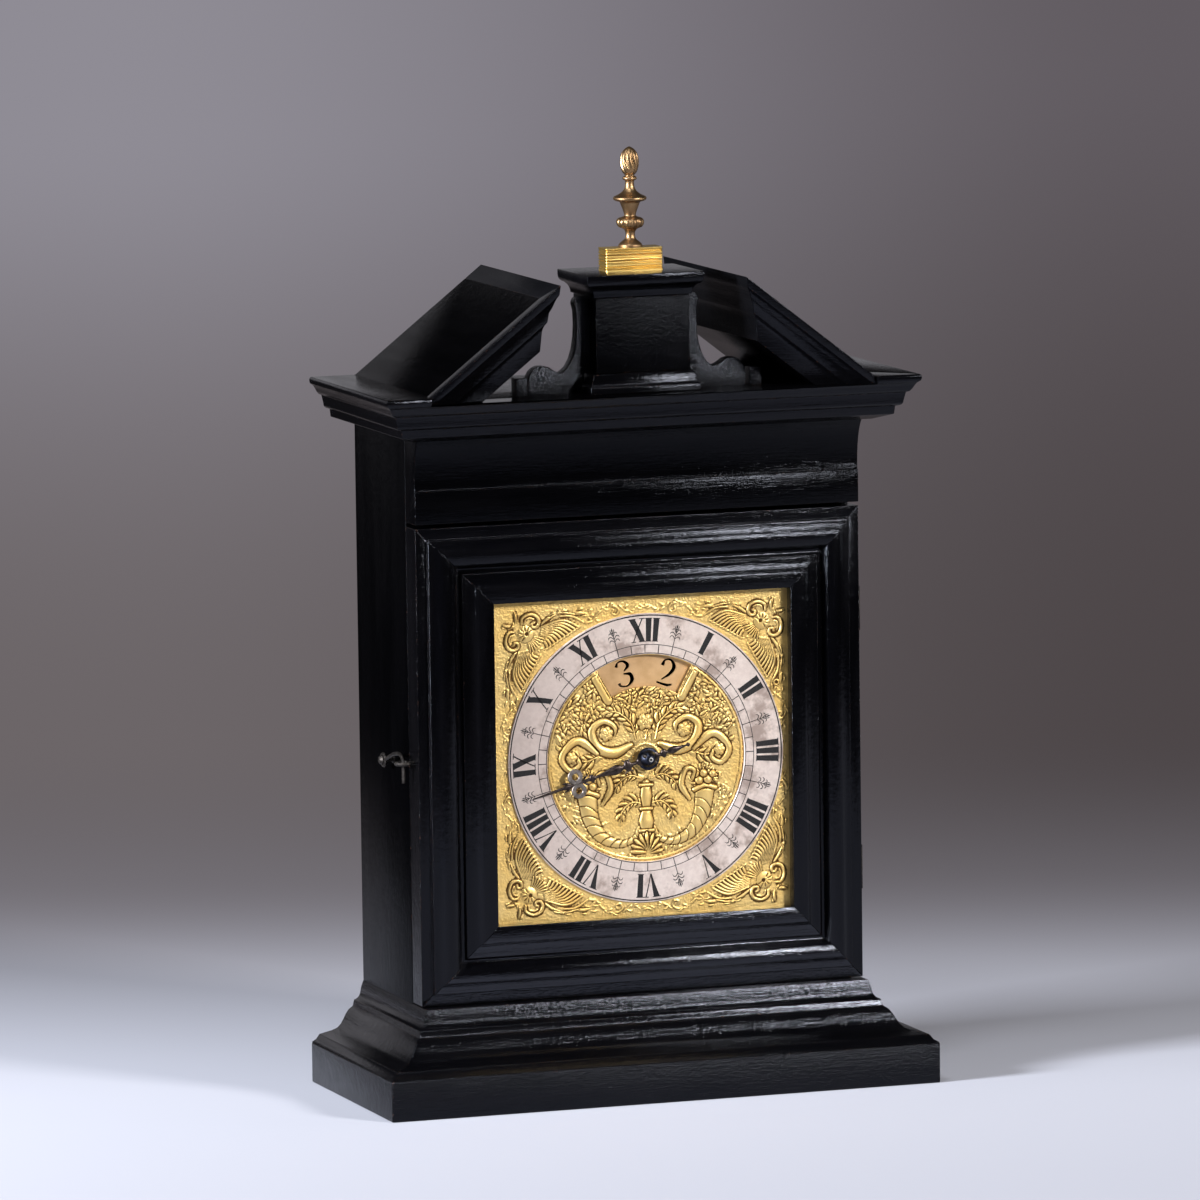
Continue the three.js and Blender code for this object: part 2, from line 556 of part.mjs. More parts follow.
function addDoorFrame() {
  const profile = doorProfile();
  for (const { side, sign } of SIDES) {
    const stile = prism(
      profile,
      (w, y) => [sign * (CASE_HALF - w), y, DOOR_BOTTOM + w],
      (w, y) => [sign * (CASE_HALF - w), y, DOOR_TOP - w],
    );
    add(`door_stile_${side}`, stile, EBONISED);
  }
  for (const [place, edge, sign] of [['top', DOOR_TOP, -1], ['bottom', DOOR_BOTTOM, 1]]) {
    const rail = prism(
      profile,
      (w, y) => [w - CASE_HALF, y, edge + sign * w],
      (w, y) => [CASE_HALF - w, y, edge + sign * w],
    );
    add(`door_rail_${place}`, rail, EBONISED);
  }
}

// Hinges: the fixed leaf carries the lower knuckle and the pin, the door's leaf the upper knuckle

function addHinges() {
  const x = CASE_HALF + HINGE.standOff + HINGE.knuckle;
  const y = (CASE_FRONT + DOOR_BACK) / 2;
  const places = [['upper', DOOR_TOP - HINGE.drop], ['lower', DOOR_BOTTOM + HINGE.drop]];
  for (const [place, z] of places) {
    const half = HINGE.height / 2;
    const leafOut = CASE_HALF + HINGE.leaf;
    const reach = x - HINGE.knuckle * 0.5;
    const fixedLeaf = join(
      box([CASE_HALF, CASE_FRONT + RUN, z - half], [leafOut, CASE_FRONT + HINGE.leafDepth, z + half]),
      box([CASE_HALF + RUN, CASE_FRONT + RUN, z - half], [reach, CASE_FRONT + RUN + HINGE.leaf, z]),
      bar(HINGE.knuckle, z - half, z, 'z', [x, y, 0], 12),
    );
    const clear = bar(HINGE.knuckle + RUN, z, z + half + RUN, 'z', [x, y, 0], 12);
    const pin = bar(HINGE.pin, z - RUN, z + half, 'z', [x, y, 0], 12);
    add(`hinge_${place}`, join(cut(fixedLeaf, clear), pin), IRON);
    const bottom = z + RUN;
    const doorLeaf = join(
      box([CASE_HALF, DOOR_BACK - HINGE.leafDepth, bottom], [leafOut, DOOR_BACK, z + half]),
      box([CASE_HALF, DOOR_BACK - HINGE.leaf, bottom], [reach, DOOR_BACK, z + half]),
      bar(HINGE.knuckle, bottom, z + half, 'z', [x, y, 0], 12),
    );
    const bore = bar(HINGE.pin + RUN, z, z + half + RUN, 'z', [x, y, 0], 12);
    add(`door_hinge_leaf_${place}`, cut(doorLeaf, bore), IRON);
  }
}

// Hook on the left side: it turns on a headed stud and drops through an eye on the door's edge

function addHook() {
  const x = -CASE_HALF - HOOK.out;
  const y = CASE_FRONT + HOOK.back;
  const z = DOOR_BOTTOM + HOOK.up;
  const studInner = STUD.radius - SEAT;
  const washer = STUD.radius + STUD.washer;
  const headPlace = HOOK.out + HOOK.wire + RUN;
  const stud = turned(
    [
      [0, 0], [washer, 0], [washer, STUD.washerThickness], [studInner, STUD.washerThickness * 1.5],
      [studInner, headPlace], [STUD.head, headPlace],
      [STUD.head * 0.6, headPlace + STUD.headThickness], [0, headPlace + STUD.headThickness],
    ],
    'x',
    [0, 0, 0],
    12,
  );
  stud.scale(-1, 1, 1).translate(-CASE_HALF, y, z);
  add('hook_stud', tidy(stud), IRON);

  const loop = ring(HOOK.eye, HOOK.wire, 14).rotateY(Math.PI / 2).translate(x, y, z);
  const start = y - HOOK.eye;
  const tip = y - HOOK.reach;
  const span = start - tip;
  const route = new THREE.CatmullRomCurve3([
    new THREE.Vector3(x, start + 0.01 * span, z + 0.08 * HOOK.rise),
    new THREE.Vector3(x, start - 0.24 * span, z + 0.5 * HOOK.rise),
    new THREE.Vector3(x, start - 0.54 * span, z + 0.9 * HOOK.rise),
    new THREE.Vector3(x, start - 0.85 * span, z + HOOK.rise),
    new THREE.Vector3(x, start - 0.98 * span, z + 0.6 * HOOK.rise),
    new THREE.Vector3(x, tip, z),
    new THREE.Vector3(x, tip, z - HOOK.drop),
  ]);
  const section = new THREE.Shape().setFromPoints(
    circle([0, 0], HOOK.wire, 6).map(([u, v]) => new THREE.Vector2(u, v)),
  );
  const wire = new THREE.ExtrudeGeometry(section, { steps: 18, extrudePath: route, bevelEnabled: false });
  add('door_hook', join(loop, wire), IRON);

  const eyeCentre = [x, tip, z + EYE.above];
  const eye = ring(EYE.ring, EYE.wire, 16).translate(...eyeCentre);
  const shank = bar(EYE.wire, eyeCentre[0] + EYE.ring, -CASE_HALF, 'x', [0, ...eyeCentre.slice(1)], 10);
  add('door_eye', join(eye, shank), IRON);
}

// A round wire ring in the XY plane
const ring = (radius, wire, segments) => tidy(new THREE.TorusGeometry(radius, wire, 6, segments));

// Dial

function addDial() {
  const half = CASE_HALF - DOOR.member + DOOR.rebate - SEAT;
  const low = DOOR_BOTTOM + DOOR.member - DOOR.rebate + SEAT;
  const high = DOOR_TOP - DOOR.member + DOOR.rebate - SEAT;
  const outline = [[-half, low], [half, low], [half, high], [-half, high]];
  const { halfAngle } = APERTURE;
  const opening = [
    ...arc(dialCentre, APERTURE_OUTER, -halfAngle, halfAngle, 10),
    ...arc(dialCentre, APERTURE_INNER, halfAngle, -halfAngle, 8),
  ];
  const centreHole = circle(dialCentre, HOUR_ARBOR.radius + 2 * RUN, 16);
  add('dial_plate', slabY(outline, DIAL_FRONT, DIAL_BACK, [opening, centreHole]), GILT);
  const band = slabY(
    circle(dialCentre, RING_OUTER, 48),
    DIAL_FRONT - RING.thickness,
    DIAL_FRONT,
    [circle(dialCentre, RING_INNER, 48)],
  );
  add('chapter_ring', band, SILVERED);
}

// Strokes of each numeral in a unit box; every stroke is open, so that no counter falls out of the disc
const STROKES = {
  0: [
    [[0.73, 1], [0.93, 0.75], [0.93, 0.25], [0.73, 0]],
    [[0.27, 1], [0.07, 0.75], [0.07, 0.25], [0.27, 0]],
  ],
  1: [[[0.25, 0.8], [0.5, 1], [0.5, 0]]],
  2: [[[0.1, 0.8], [0.35, 1], [0.65, 1], [0.9, 0.75], [0.1, 0], [0.9, 0]]],
  3: [[[0.1, 1], [0.9, 1], [0.5, 0.6], [0.9, 0.35], [0.6, 0], [0.1, 0.08]]],
  4: [[[0.55, 1], [0.08, 0.3], [0.5, 0.3]], [[0.84, 0.62], [0.84, 0]]],
  5: [[[0.85, 1], [0.2, 1], [0.15, 0.55], [0.6, 0.6], [0.9, 0.35], [0.6, 0], [0.1, 0.05]]],
  6: [[[0.75, 1], [0.3, 0.75], [0.1, 0.3], [0.4, 0], [0.85, 0.12], [0.85, 0.4], [0.65, 0.5]]],
  7: [[[0.1, 1], [0.9, 1], [0.4, 0]]],
  8: [
    [[0.66, 0.97], [0.85, 0.75], [0.2, 0.35], [0.34, 0.03]],
    [[0.3, 0.97], [0.14, 0.8]],
    [[0.84, 0.26], [0.7, 0.03]],
  ],
  9: [[[0.25, 0], [0.7, 0.25], [0.9, 0.7], [0.6, 1], [0.15, 0.88], [0.15, 0.6], [0.35, 0.5]]],
};
const DIGIT = { width: 0.56, gap: 0.08 }; // shares of the numeral's height

function numeralCutters() {
  const cutters = [];
  const height = DISC.numeralHeight;
  for (let hour = 1; hour <= 12; hour += 1) {
    const turn = new THREE.Matrix4().makeRotationY(hourAngle(hour));
    const digits = String(hour).split('');
    const total = digits.length * DIGIT.width + (digits.length - 1) * DIGIT.gap;
    digits.forEach((digit, place) => {
      const left = (place * (DIGIT.width + DIGIT.gap) - total / 2) * height;
      for (const stroke of STROKES[digit]) {
        const points = stroke.map(([u, v]) =>
          [left + u * DIGIT.width * height, NUMERAL_RADIUS + (v - 0.5) * height]);
        for (let i = 0; i < points.length - 1; i += 1) {
          cutters.push(strokeBlock(points[i], points[i + 1]).applyMatrix4(turn));
        }
      }
    });
  }
  return cutters.map((cutter) => cutter.translate(DIAL_X, 0, DIAL_Z));
}

const UPRIGHT_HOUR = 2.42; // between 2 and 3, straight above the dial's centre

// The numerals follow each other anticlockwise, so that they rise on the left as the disc turns clockwise
const hourAngle = (hour) => (UPRIGHT_HOUR - hour) * Math.PI / 6;

// A block through the disc along one straight of a stroke, a little longer so that corners close
function strokeBlock([x0, z0], [x1, z1]) {
  const length = Math.hypot(x1 - x0, z1 - z0) + DISC.stroke * 0.6;
  const block = new THREE.BoxGeometry(length, 3 * DISC.thickness, DISC.stroke);
  block.rotateY(-Math.atan2(z1 - z0, x1 - x0));
  return block.translate((x0 + x1) / 2, (DISC_FRONT + DISC_BACK) / 2, (z0 + z1) / 2);
}

function addHourWork() {
  const centre = [DIAL_X, 0, DIAL_Z];
  const bore = circle(dialCentre, HOUR_ARBOR.radius + SEAT, 16);
  const blank = slabY(circle(dialCentre, DISC_RADIUS, 48), DISC_FRONT, DISC_BACK, [bore]);
  add('numeral_disc', cut(blank, ...numeralCutters()), COPPER);

  const collarFront = HAND_FRONT - COLLET.height;
  const arborEnd = collarFront - TAPER_PIN.lead;
  const wheelFront = FRAME_BACK + HOUR_TRAIN.clear;
  const wheel = gearSlab(HOUR_TRAIN.wheel, HOUR_TRAIN.module, dialCentre, HOUR_PHASE, WHEEL_SHAPE,
    wheelFront, wheelFront + HOUR_TRAIN.thickness, 4);
  const shoulder = DISC_BACK + HOUR_ARBOR.shoulder;
  const arbor = turned(
    [
      [0, arborEnd], [HOUR_ARBOR.front, arborEnd], [HOUR_ARBOR.front, HAND_BACK],
      [HOUR_ARBOR.radius, HAND_BACK], [HOUR_ARBOR.radius, DISC_BACK], [HOUR_ARBOR.flange, DISC_BACK],
      [HOUR_ARBOR.flange, shoulder], [HOUR_ARBOR.radius, shoulder], [HOUR_ARBOR.radius, REAR_FRONT - RUN],
      [ARBOR.pivot, REAR_FRONT - RUN], [ARBOR.pivot, REAR_BACK], [0, REAR_BACK],
    ],
    'y',
    centre,
  );
  const pinPlace = (arborEnd + collarFront) / 2;
  const crossHole = crossPin(TAPER_PIN.thick + SEAT, TAPER_PIN.thick + SEAT, 3 * HOUR_ARBOR.front, pinPlace);
  add('hour_wheel', cut(join(arbor, wheel), crossHole), BRASS);
  const pin = crossPin(TAPER_PIN.thick, TAPER_PIN.thin, TAPER_PIN.length, pinPlace);
  add('taper_pin', pin, IRON);

  const collarBore = HOUR_ARBOR.front + SEAT;
  const collar = turned(
    [
      [collarBore, HAND_FRONT], [COLLET.radius, HAND_FRONT], [COLLET.radius, HAND_FRONT - COLLET.rim],
      [COLLET.crown, collarFront], [collarBore, collarFront], [collarBore, HAND_FRONT],
    ],
    'y',
    centre,
    20,
  );
  add('hand_collet', collar, SILVERED);
  add('hour_hand', handGeometry(), BLUED);
}

// A round taper across the arbor's front end
function crossPin(thick, thin, length, y) {
  const pin = new THREE.CylinderGeometry(thin, thick, length, 8);
  pin.rotateX(Math.PI / 2).rotateY(TAPER_PIN.angle);
  return tidy(pin.translate(DIAL_X, y, DIAL_Z));
}

// The hand's half widths in shares of its boss, tail first, against places in shares of its tail and length
const TAIL_WIDTHS = [
  [-1, 0.12], [-0.96, 0.2], [-0.87, 0.09], [-0.72, 0.2], [-0.6, 0.34], [-0.45, 0.16], [-0.37, 0.42], [-0.3, 0.2],
];
const BLADE_WIDTHS = [
  [-0.07, 0.7], [0, 1], [0.07, 0.7], [0.12, 0.24], [0.15, 0.3], [0.18, 0.62], [0.21, 0.24], [0.28, 0.46],
  [0.36, 0.24], [0.43, 0.16], [0.48, 0.18], [0.49, 0.4], [0.51, 0.4], [0.52, 0.2], [0.62, 0.2], [0.7, 0.2],
  [0.75, 0.14], [0.92, 0.09], [1, 0.05],
];
const LOOP = { place: 0.62, spread: 0.94, hole: 0.42 }; // a share of the length, and shares of its radius

// The hand lies along +Z and is turned to its hour: boss, baluster, two loops and a needle, with a tail
function handGeometry() {
  const widths = [
    ...TAIL_WIDTHS.map(([share, width]) => [share * HAND.tail, width * HAND.boss]),
    ...BLADE_WIDTHS.map(([share, width]) => [share * HAND_LENGTH, width * HAND.boss]),
  ];
  const left = widths.map(([z, half]) => [-half, z]);
  const right = widths.map(([z, half]) => [half, z]).reverse();
  const blade = slabY([...left, ...right], HAND_FRONT, HAND_BACK);
  const loops = [-1, 1].map((sign) => {
    const middle = [sign * HAND.loop * LOOP.spread, HAND_LENGTH * LOOP.place];
    const hole = circle(middle, HAND.loop * LOOP.hole, 14);
    return slabY(circle(middle, HAND.loop, 20), HAND_FRONT, HAND_BACK, [hole]);
  });
  const bore = bar(HOUR_ARBOR.front + SEAT, HAND_FRONT - 1, HAND_BACK + 1, 'y', [0, 0, 0]);
  const hand = cut(join(blade, ...loops), bore);
  return hand.rotateY(HAND_ANGLE).translate(DIAL_X, 0, DIAL_Z);
}

// Gears

// Addendum and dedendum are in modules; half a tooth's width at its tip and root is a share of the pitch
const WHEEL_SHAPE = { addendum: 0.85, dedendum: 1.15, tip: 0.11, root: 0.27 };
const PINION_SHAPE = { addendum: 0.8, dedendum: 1.1, tip: 0.1, root: 0.2 };

function gearOutline(teeth, module, centre, phase, shape) {
  const pitchRadius = teeth * module / 2;
  const pitch = 2 * Math.PI / teeth;
  const corners = [
    [-shape.root, pitchRadius - shape.dedendum * module],
    [-shape.tip, pitchRadius + shape.addendum * module],
    [shape.tip, pitchRadius + shape.addendum * module],
    [shape.root, pitchRadius - shape.dedendum * module],
  ];
  return steps(teeth).flatMap((tooth) =>
    corners.map(([share, radius]) => onClock(centre, radius, phase + (tooth + share) * pitch)));
}

// Openings between the arms of a wheel
function armOpenings(centre, inner, outer, arms) {
  const width = 0.28; // half an opening's angle as a share of the angle between arms
  const between = 2 * Math.PI / arms;
  return steps(arms).map((i) => {
    const middle = i * between;
    return [
      ...arc(centre, outer, middle - width * between, middle + width * between, 5),
      ...arc(centre, inner, middle + width * between * 0.8, middle - width * between * 0.8, 2),
    ];
  });
}

function gearSlab(teeth, module, centre, phase, shape, y0, y1, arms = 0) {
  const outline = gearOutline(teeth, module, centre, phase, shape);
  const rim = teeth * module / 2 - (shape.dedendum + 2) * module;
  const openings = arms > 0 ? armOpenings(centre, rim * 0.4, rim, arms) : [];
  return slabY(outline, y0, y1, openings);
}

const meshDistance = (train, first, second) => train.module * (first + second) / 2;

// Places of the arbors
const HOUR_DISTANCE = meshDistance(HOUR_TRAIN, HOUR_TRAIN.wheel, HOUR_TRAIN.report);
const BARREL_CENTRE = onClock(dialCentre, HOUR_DISTANCE, Math.PI);
const SECOND_CENTRE = onClock(
  BARREL_CENTRE,
  meshDistance(GREAT_TRAIN, GREAT_TRAIN.wheel, GREAT_TRAIN.pinion),
  SECOND_DIRECTION,
);
const ESCAPE_CENTRE = onClock(
  SECOND_CENTRE,
  meshDistance(SECOND_TRAIN, SECOND_TRAIN.wheel, SECOND_TRAIN.pinion),
  ESCAPE_DIRECTION,
);
const PALLET_DROP = ESCAPE.radius + PALLET.drop;
const PALLET_CENTRE = [ESCAPE_CENTRE[0], ESCAPE_CENTRE[1] + PALLET_DROP];
const ESCAPE_FRONT = FRAME_BACK + ESCAPE.behind;
const CLICK_DIRECTION = 2 * Math.PI * (CLICK.tooth + 1.65) / RATCHET.teeth;
const CLICK_PIVOT = onClock(BARREL_CENTRE, RATCHET.radius + CLICK.reach, CLICK_DIRECTION);

// A driver has a tooth on the line of centres, and what it drives has a gap there
const HOUR_PHASE = Math.PI;
const gapToward = (direction, teeth) => direction + Math.PI + Math.PI / teeth;

function addTrain() {
  const reportFront = FRAME_BACK + HOUR_TRAIN.clear;
  const reportBack = reportFront + HOUR_TRAIN.thickness;
  const greatFront = reportBack + GREAT_TRAIN.clear;
  const greatBack = greatFront + GREAT_TRAIN.thickness;
  const barrelBack = greatBack + BARREL.length;
  const [gx, gz] = BARREL_CENTRE;

  // Barrel: report wheel, sleeve, great wheel and drum turn as one about the winding arbor
  const report = gearSlab(HOUR_TRAIN.report, HOUR_TRAIN.module, BARREL_CENTRE,
    gapToward(Math.PI, HOUR_TRAIN.report), WHEEL_SHAPE, reportFront, reportBack);
  const great = gearSlab(GREAT_TRAIN.wheel, GREAT_TRAIN.module, BARREL_CENTRE, SECOND_DIRECTION,
    WHEEL_SHAPE, greatFront, greatBack);
  const sleeve = bar(WINDING.radius + BARREL.sleeve, reportFront, greatBack, 'y', [gx, 0, gz]);
  const drum = bar(BARREL.radius, greatBack, barrelBack, 'y', [gx, 0, gz], 24);
  const hollowRadius = BARREL.radius - BARREL.wall;
  const hollow = bar(hollowRadius, greatBack + BARREL.wall, barrelBack + 1, 'y', [gx, 0, gz], 24);
  const bore = bar(WINDING.radius + RUN, reportFront - 1, barrelBack + 1, 'y', [gx, 0, gz]);
  add('great_wheel', cut(join(great, report, sleeve, drum), hollow, bore), BRASS);
  const capFront = barrelBack + SEAT;
  const cap = slabY(
    circle(BARREL_CENTRE, BARREL.radius, 24),
    capFront,
    capFront + BARREL.cap,
    [circle(BARREL_CENTRE, WINDING.radius + RUN, 16)],
  );
  add('barrel_cap', cap, BRASS);
  add('mainspring', slabY(springOutline(), greatBack + BARREL.wall + RUN, barrelBack - RUN), IRON);

  // Second wheel behind the barrel, its pinion in the plane of the great wheel
  const secondFront = capFront + BARREL.cap + SECOND_TRAIN.clear;
  const secondBack = secondFront + SECOND_TRAIN.thickness;
  const second = gearSlab(SECOND_TRAIN.wheel, SECOND_TRAIN.module, SECOND_CENTRE, ESCAPE_DIRECTION,
    WHEEL_SHAPE, secondFront, secondBack, 4);
  const secondPinion = gearSlab(GREAT_TRAIN.pinion, GREAT_TRAIN.module, SECOND_CENTRE,
    gapToward(SECOND_DIRECTION, GREAT_TRAIN.pinion), PINION_SHAPE, greatFront - 1, greatBack + 1);
  add('second_wheel', join(arborAt(SECOND_CENTRE), second, secondPinion), BRASS);

  // Escape wheel between the plates, its pinion in the plane of the second wheel
  const escapePinion = gearSlab(SECOND_TRAIN.pinion, SECOND_TRAIN.module, ESCAPE_CENTRE,
    gapToward(ESCAPE_DIRECTION, SECOND_TRAIN.pinion), PINION_SHAPE, secondFront - 0.6, secondBack + 0.6);
  const escape = slabY(escapeOutline(), ESCAPE_FRONT, ESCAPE_FRONT + ESCAPE.thickness);
  add('escape_wheel', join(arborAt(ESCAPE_CENTRE), escape, escapePinion), BRASS);
}

// An arbor between the plates with a pivot at each end
function arborAt([x, z]) {
  return turned(
    [
      [0, FRAME_FRONT], [ARBOR.pivot, FRAME_FRONT], [ARBOR.pivot, FRAME_BACK + RUN],
      [ARBOR.radius, FRAME_BACK + RUN], [ARBOR.radius, REAR_FRONT - RUN],
      [ARBOR.pivot, REAR_FRONT - RUN], [ARBOR.pivot, REAR_BACK], [0, REAR_BACK],
    ],
    'y',
    [x, 0, z],
    12,
  );
}

// Pointed teeth that lean forward
function escapeOutline() {
  const { radius, teeth, root } = ESCAPE;
  const pitch = 2 * Math.PI / teeth;
  return steps(teeth).flatMap((tooth) => [
    onClock(ESCAPE_CENTRE, radius - root, tooth * pitch),
    onClock(ESCAPE_CENTRE, radius, (tooth + 0.62) * pitch),
    onClock(ESCAPE_CENTRE, radius - root, (tooth + 0.75) * pitch),
  ]);
}

// The wound ribbon of the mainspring, as one spiral strip
function springOutline() {
  const { thickness, turns, sides } = MAINSPRING;
  const count = turns * sides;
  const inner = WINDING.radius + MAINSPRING.inner;
  const outer = BARREL.radius - BARREL.wall - MAINSPRING.clear;
  const along = (i, offset) => onClock(
    BARREL_CENTRE,
    inner + (outer - inner) * i / count + offset,
    2 * Math.PI * i / sides,
  );
  const outside = steps(count + 1).map((i) => along(i, thickness / 2));
  const inside = steps(count + 1).map((i) => along(count - i, -thickness / 2));
  return [...outside, ...inside];
}

// Plates

function addPlates() {
  const left = DIAL_X - FRAME_HALF;
  const right = DIAL_X + FRAME_HALF;
  const low = DIAL_Z - FRAME.below;
  const high = DIAL_Z + FRAME.above;
  const outline = [[left, low], [right, low], [right, high], [left, high]];
  const pivotHole = (centre) => circle(centre, ARBOR.pivot + RUN, 10);
  const windingHole = circle(BARREL_CENTRE, WINDING.radius + RUN, 16);
  const frontHoles = [
    circle(dialCentre, HOUR_ARBOR.radius + RUN, 16),
    windingHole,
    pivotHole(SECOND_CENTRE),
    pivotHole(ESCAPE_CENTRE),
    pivotHole(PALLET_CENTRE),
  ];
  const corners = [left + PILLAR.inset, right - PILLAR.inset].flatMap((x) =>
    [low + PILLAR.inset, high - PILLAR.inset].map((z) => [x, 0, z]));
  const pillars = corners.map((corner) => bar(PILLAR.radius, FRAME_FRONT, REAR_FRONT, 'y', corner, 12));
  const feet = corners.map((corner) => bar(PILLAR.foot, DIAL_BACK, FRAME_BACK, 'y', corner, 12));
  const frontPlate = slabY(outline, FRAME_FRONT, FRAME_BACK, frontHoles);
  add('movement_front_plate', join(frontPlate, ...pillars, ...feet), BRASS);

  const rearHoles = [
    pivotHole(dialCentre),
    windingHole,
    pivotHole(SECOND_CENTRE),
    pivotHole(ESCAPE_CENTRE),
    circle(PALLET_CENTRE, ARBOR.radius + 4 * RUN, 12),
    circle(CLICK_PIVOT, CLICK.stem + RUN, 12),
  ];
  const rearPlate = slabY(outline, REAR_FRONT, REAR_BACK, rearHoles);
  add('movement_back_plate', join(rearPlate, ...cockParts()), BRASS);
}

// The cock: a foot on the back plate above the pallet arbor, and an arm that holds its rear pivot
function cockParts() {
  const [x, z] = PALLET_CENTRE;
  const half = COCK.width / 2;
  const footTop = DIAL_Z + FRAME.above;
  const footBottom = footTop - COCK.foot;
  const foot = box([x - half, REAR_BACK - 1, footBottom], [x + half, COCK_ARM_BACK, footTop]);
  const [left, right] = [x - half, x + half];
  const low = z - COCK.below;
  const arm = slabY(
    [[left, low], [right, low], [right, footTop - 1], [left, footTop - 1]],
    COCK_ARM_FRONT,
    COCK_ARM_BACK,
    [circle(PALLET_CENTRE, ARBOR.pivot + RUN, 10)],
  );
  return [foot, arm];
}

// Pendulum with its arbor and anchor; the pallets stay clear of the wheel's tips through the whole swing

function addPendulum() {
  const [x, z] = PALLET_CENTRE;
  const rearShoulder = COCK_ARM_FRONT - RUN;
  const arbor = turned(
    [
      [0, FRAME_FRONT], [ARBOR.pivot, FRAME_FRONT], [ARBOR.pivot, FRAME_BACK + RUN],
      [ARBOR.radius, FRAME_BACK + RUN], [ARBOR.radius, rearShoulder],
      [ARBOR.pivot, rearShoulder], [ARBOR.pivot, COCK_ARM_BACK], [0, COCK_ARM_BACK],
    ],
    'y',
    [x, 0, z],
    12,
  );
  const anchorFront = ESCAPE_FRONT - PALLET.side;
  const anchorBack = ESCAPE_FRONT + ESCAPE.thickness + PALLET.side;
  const anchor = slabY(anchorOutline(), anchorFront, anchorBack);
  const bobTop = z - PENDULUM.length + PENDULUM.bob;
  const bossFront = PENDULUM_Y - PENDULUM.boss;
  const bossBack = PENDULUM_Y + PENDULUM.boss;
  const boss = bar(ARBOR.radius + PENDULUM.boss, bossFront, bossBack, 'y', [x, 0, z], 12);
  const rod = bar(PENDULUM.rod, bobTop - PENDULUM.bob, z, 'z', [x, PENDULUM_Y, 0], 8);
  add('pendulum_rod', join(arbor, anchor, boss, rod), IRON);
  const half = PENDULUM.bobThickness / 2;
  const lens = turned(
    [
      [0, -half], [PENDULUM.bob * 0.6, -half * 0.75], [PENDULUM.bob, -half * 0.15],
      [PENDULUM.bob, half * 0.15], [PENDULUM.bob * 0.6, half * 0.75], [0, half],
    ],
    'y',
    [x, PENDULUM_Y, z - PENDULUM.length],
    24,
  );
  const foot = z - PENDULUM.length - PENDULUM.bob;
  const slot = bar(PENDULUM.rod + SEAT, foot - 1, z, 'z', [x, PENDULUM_Y, 0], 8);
  const nut = bar(PENDULUM.rod, foot, z - PENDULUM.length, 'z', [x, PENDULUM_Y, 0], 8);
  add('pendulum_bob', cut(lens, slot, nut), LEAD);
}

// Two arms tangent to the escape wheel, each ending in a pallet
function anchorOutline() {
  const [x, z] = PALLET_CENTRE;
  const reach = Math.sqrt(PALLET_DROP ** 2 - ESCAPE.radius ** 2);
  const lift = reach * Math.sin(PENDULUM_SWING) + PALLET.clear;
  const lean = Math.asin(ESCAPE.radius / PALLET_DROP);
  // Along an arm from the arbor, and square to it away from the wheel
  const half = [
    [reach + PALLET.thickness / 2, lift],
    [reach - PALLET.thickness / 2, lift],
    [reach - PALLET.thickness / 2 - 0.6, lift + PALLET.width * 0.4],
  ];
  const outer = [
    [reach + PALLET.thickness / 2, lift + PALLET.depth],
    [reach * 0.5, lift + PALLET.depth * 0.9],
  ];
  const place = ([along, away], sign) => {
    const down = along * Math.cos(lean) - away * Math.sin(lean);
    const across = along * Math.sin(lean) + away * Math.cos(lean);
    return [x + sign * across, z - down];
  };
  const right = [...outer].reverse().map((point) => place(point, 1));
  const rightPallet = half.map((point) => place(point, 1));
  const left = outer.map((point) => place(point, -1));
  const leftPallet = [...half].reverse().map((point) => place(point, -1));
  return [[x, z + 3.2], ...right, ...rightPallet, [x, z - 3.4], ...leftPallet, ...left];
}

// Winding work behind the back plate

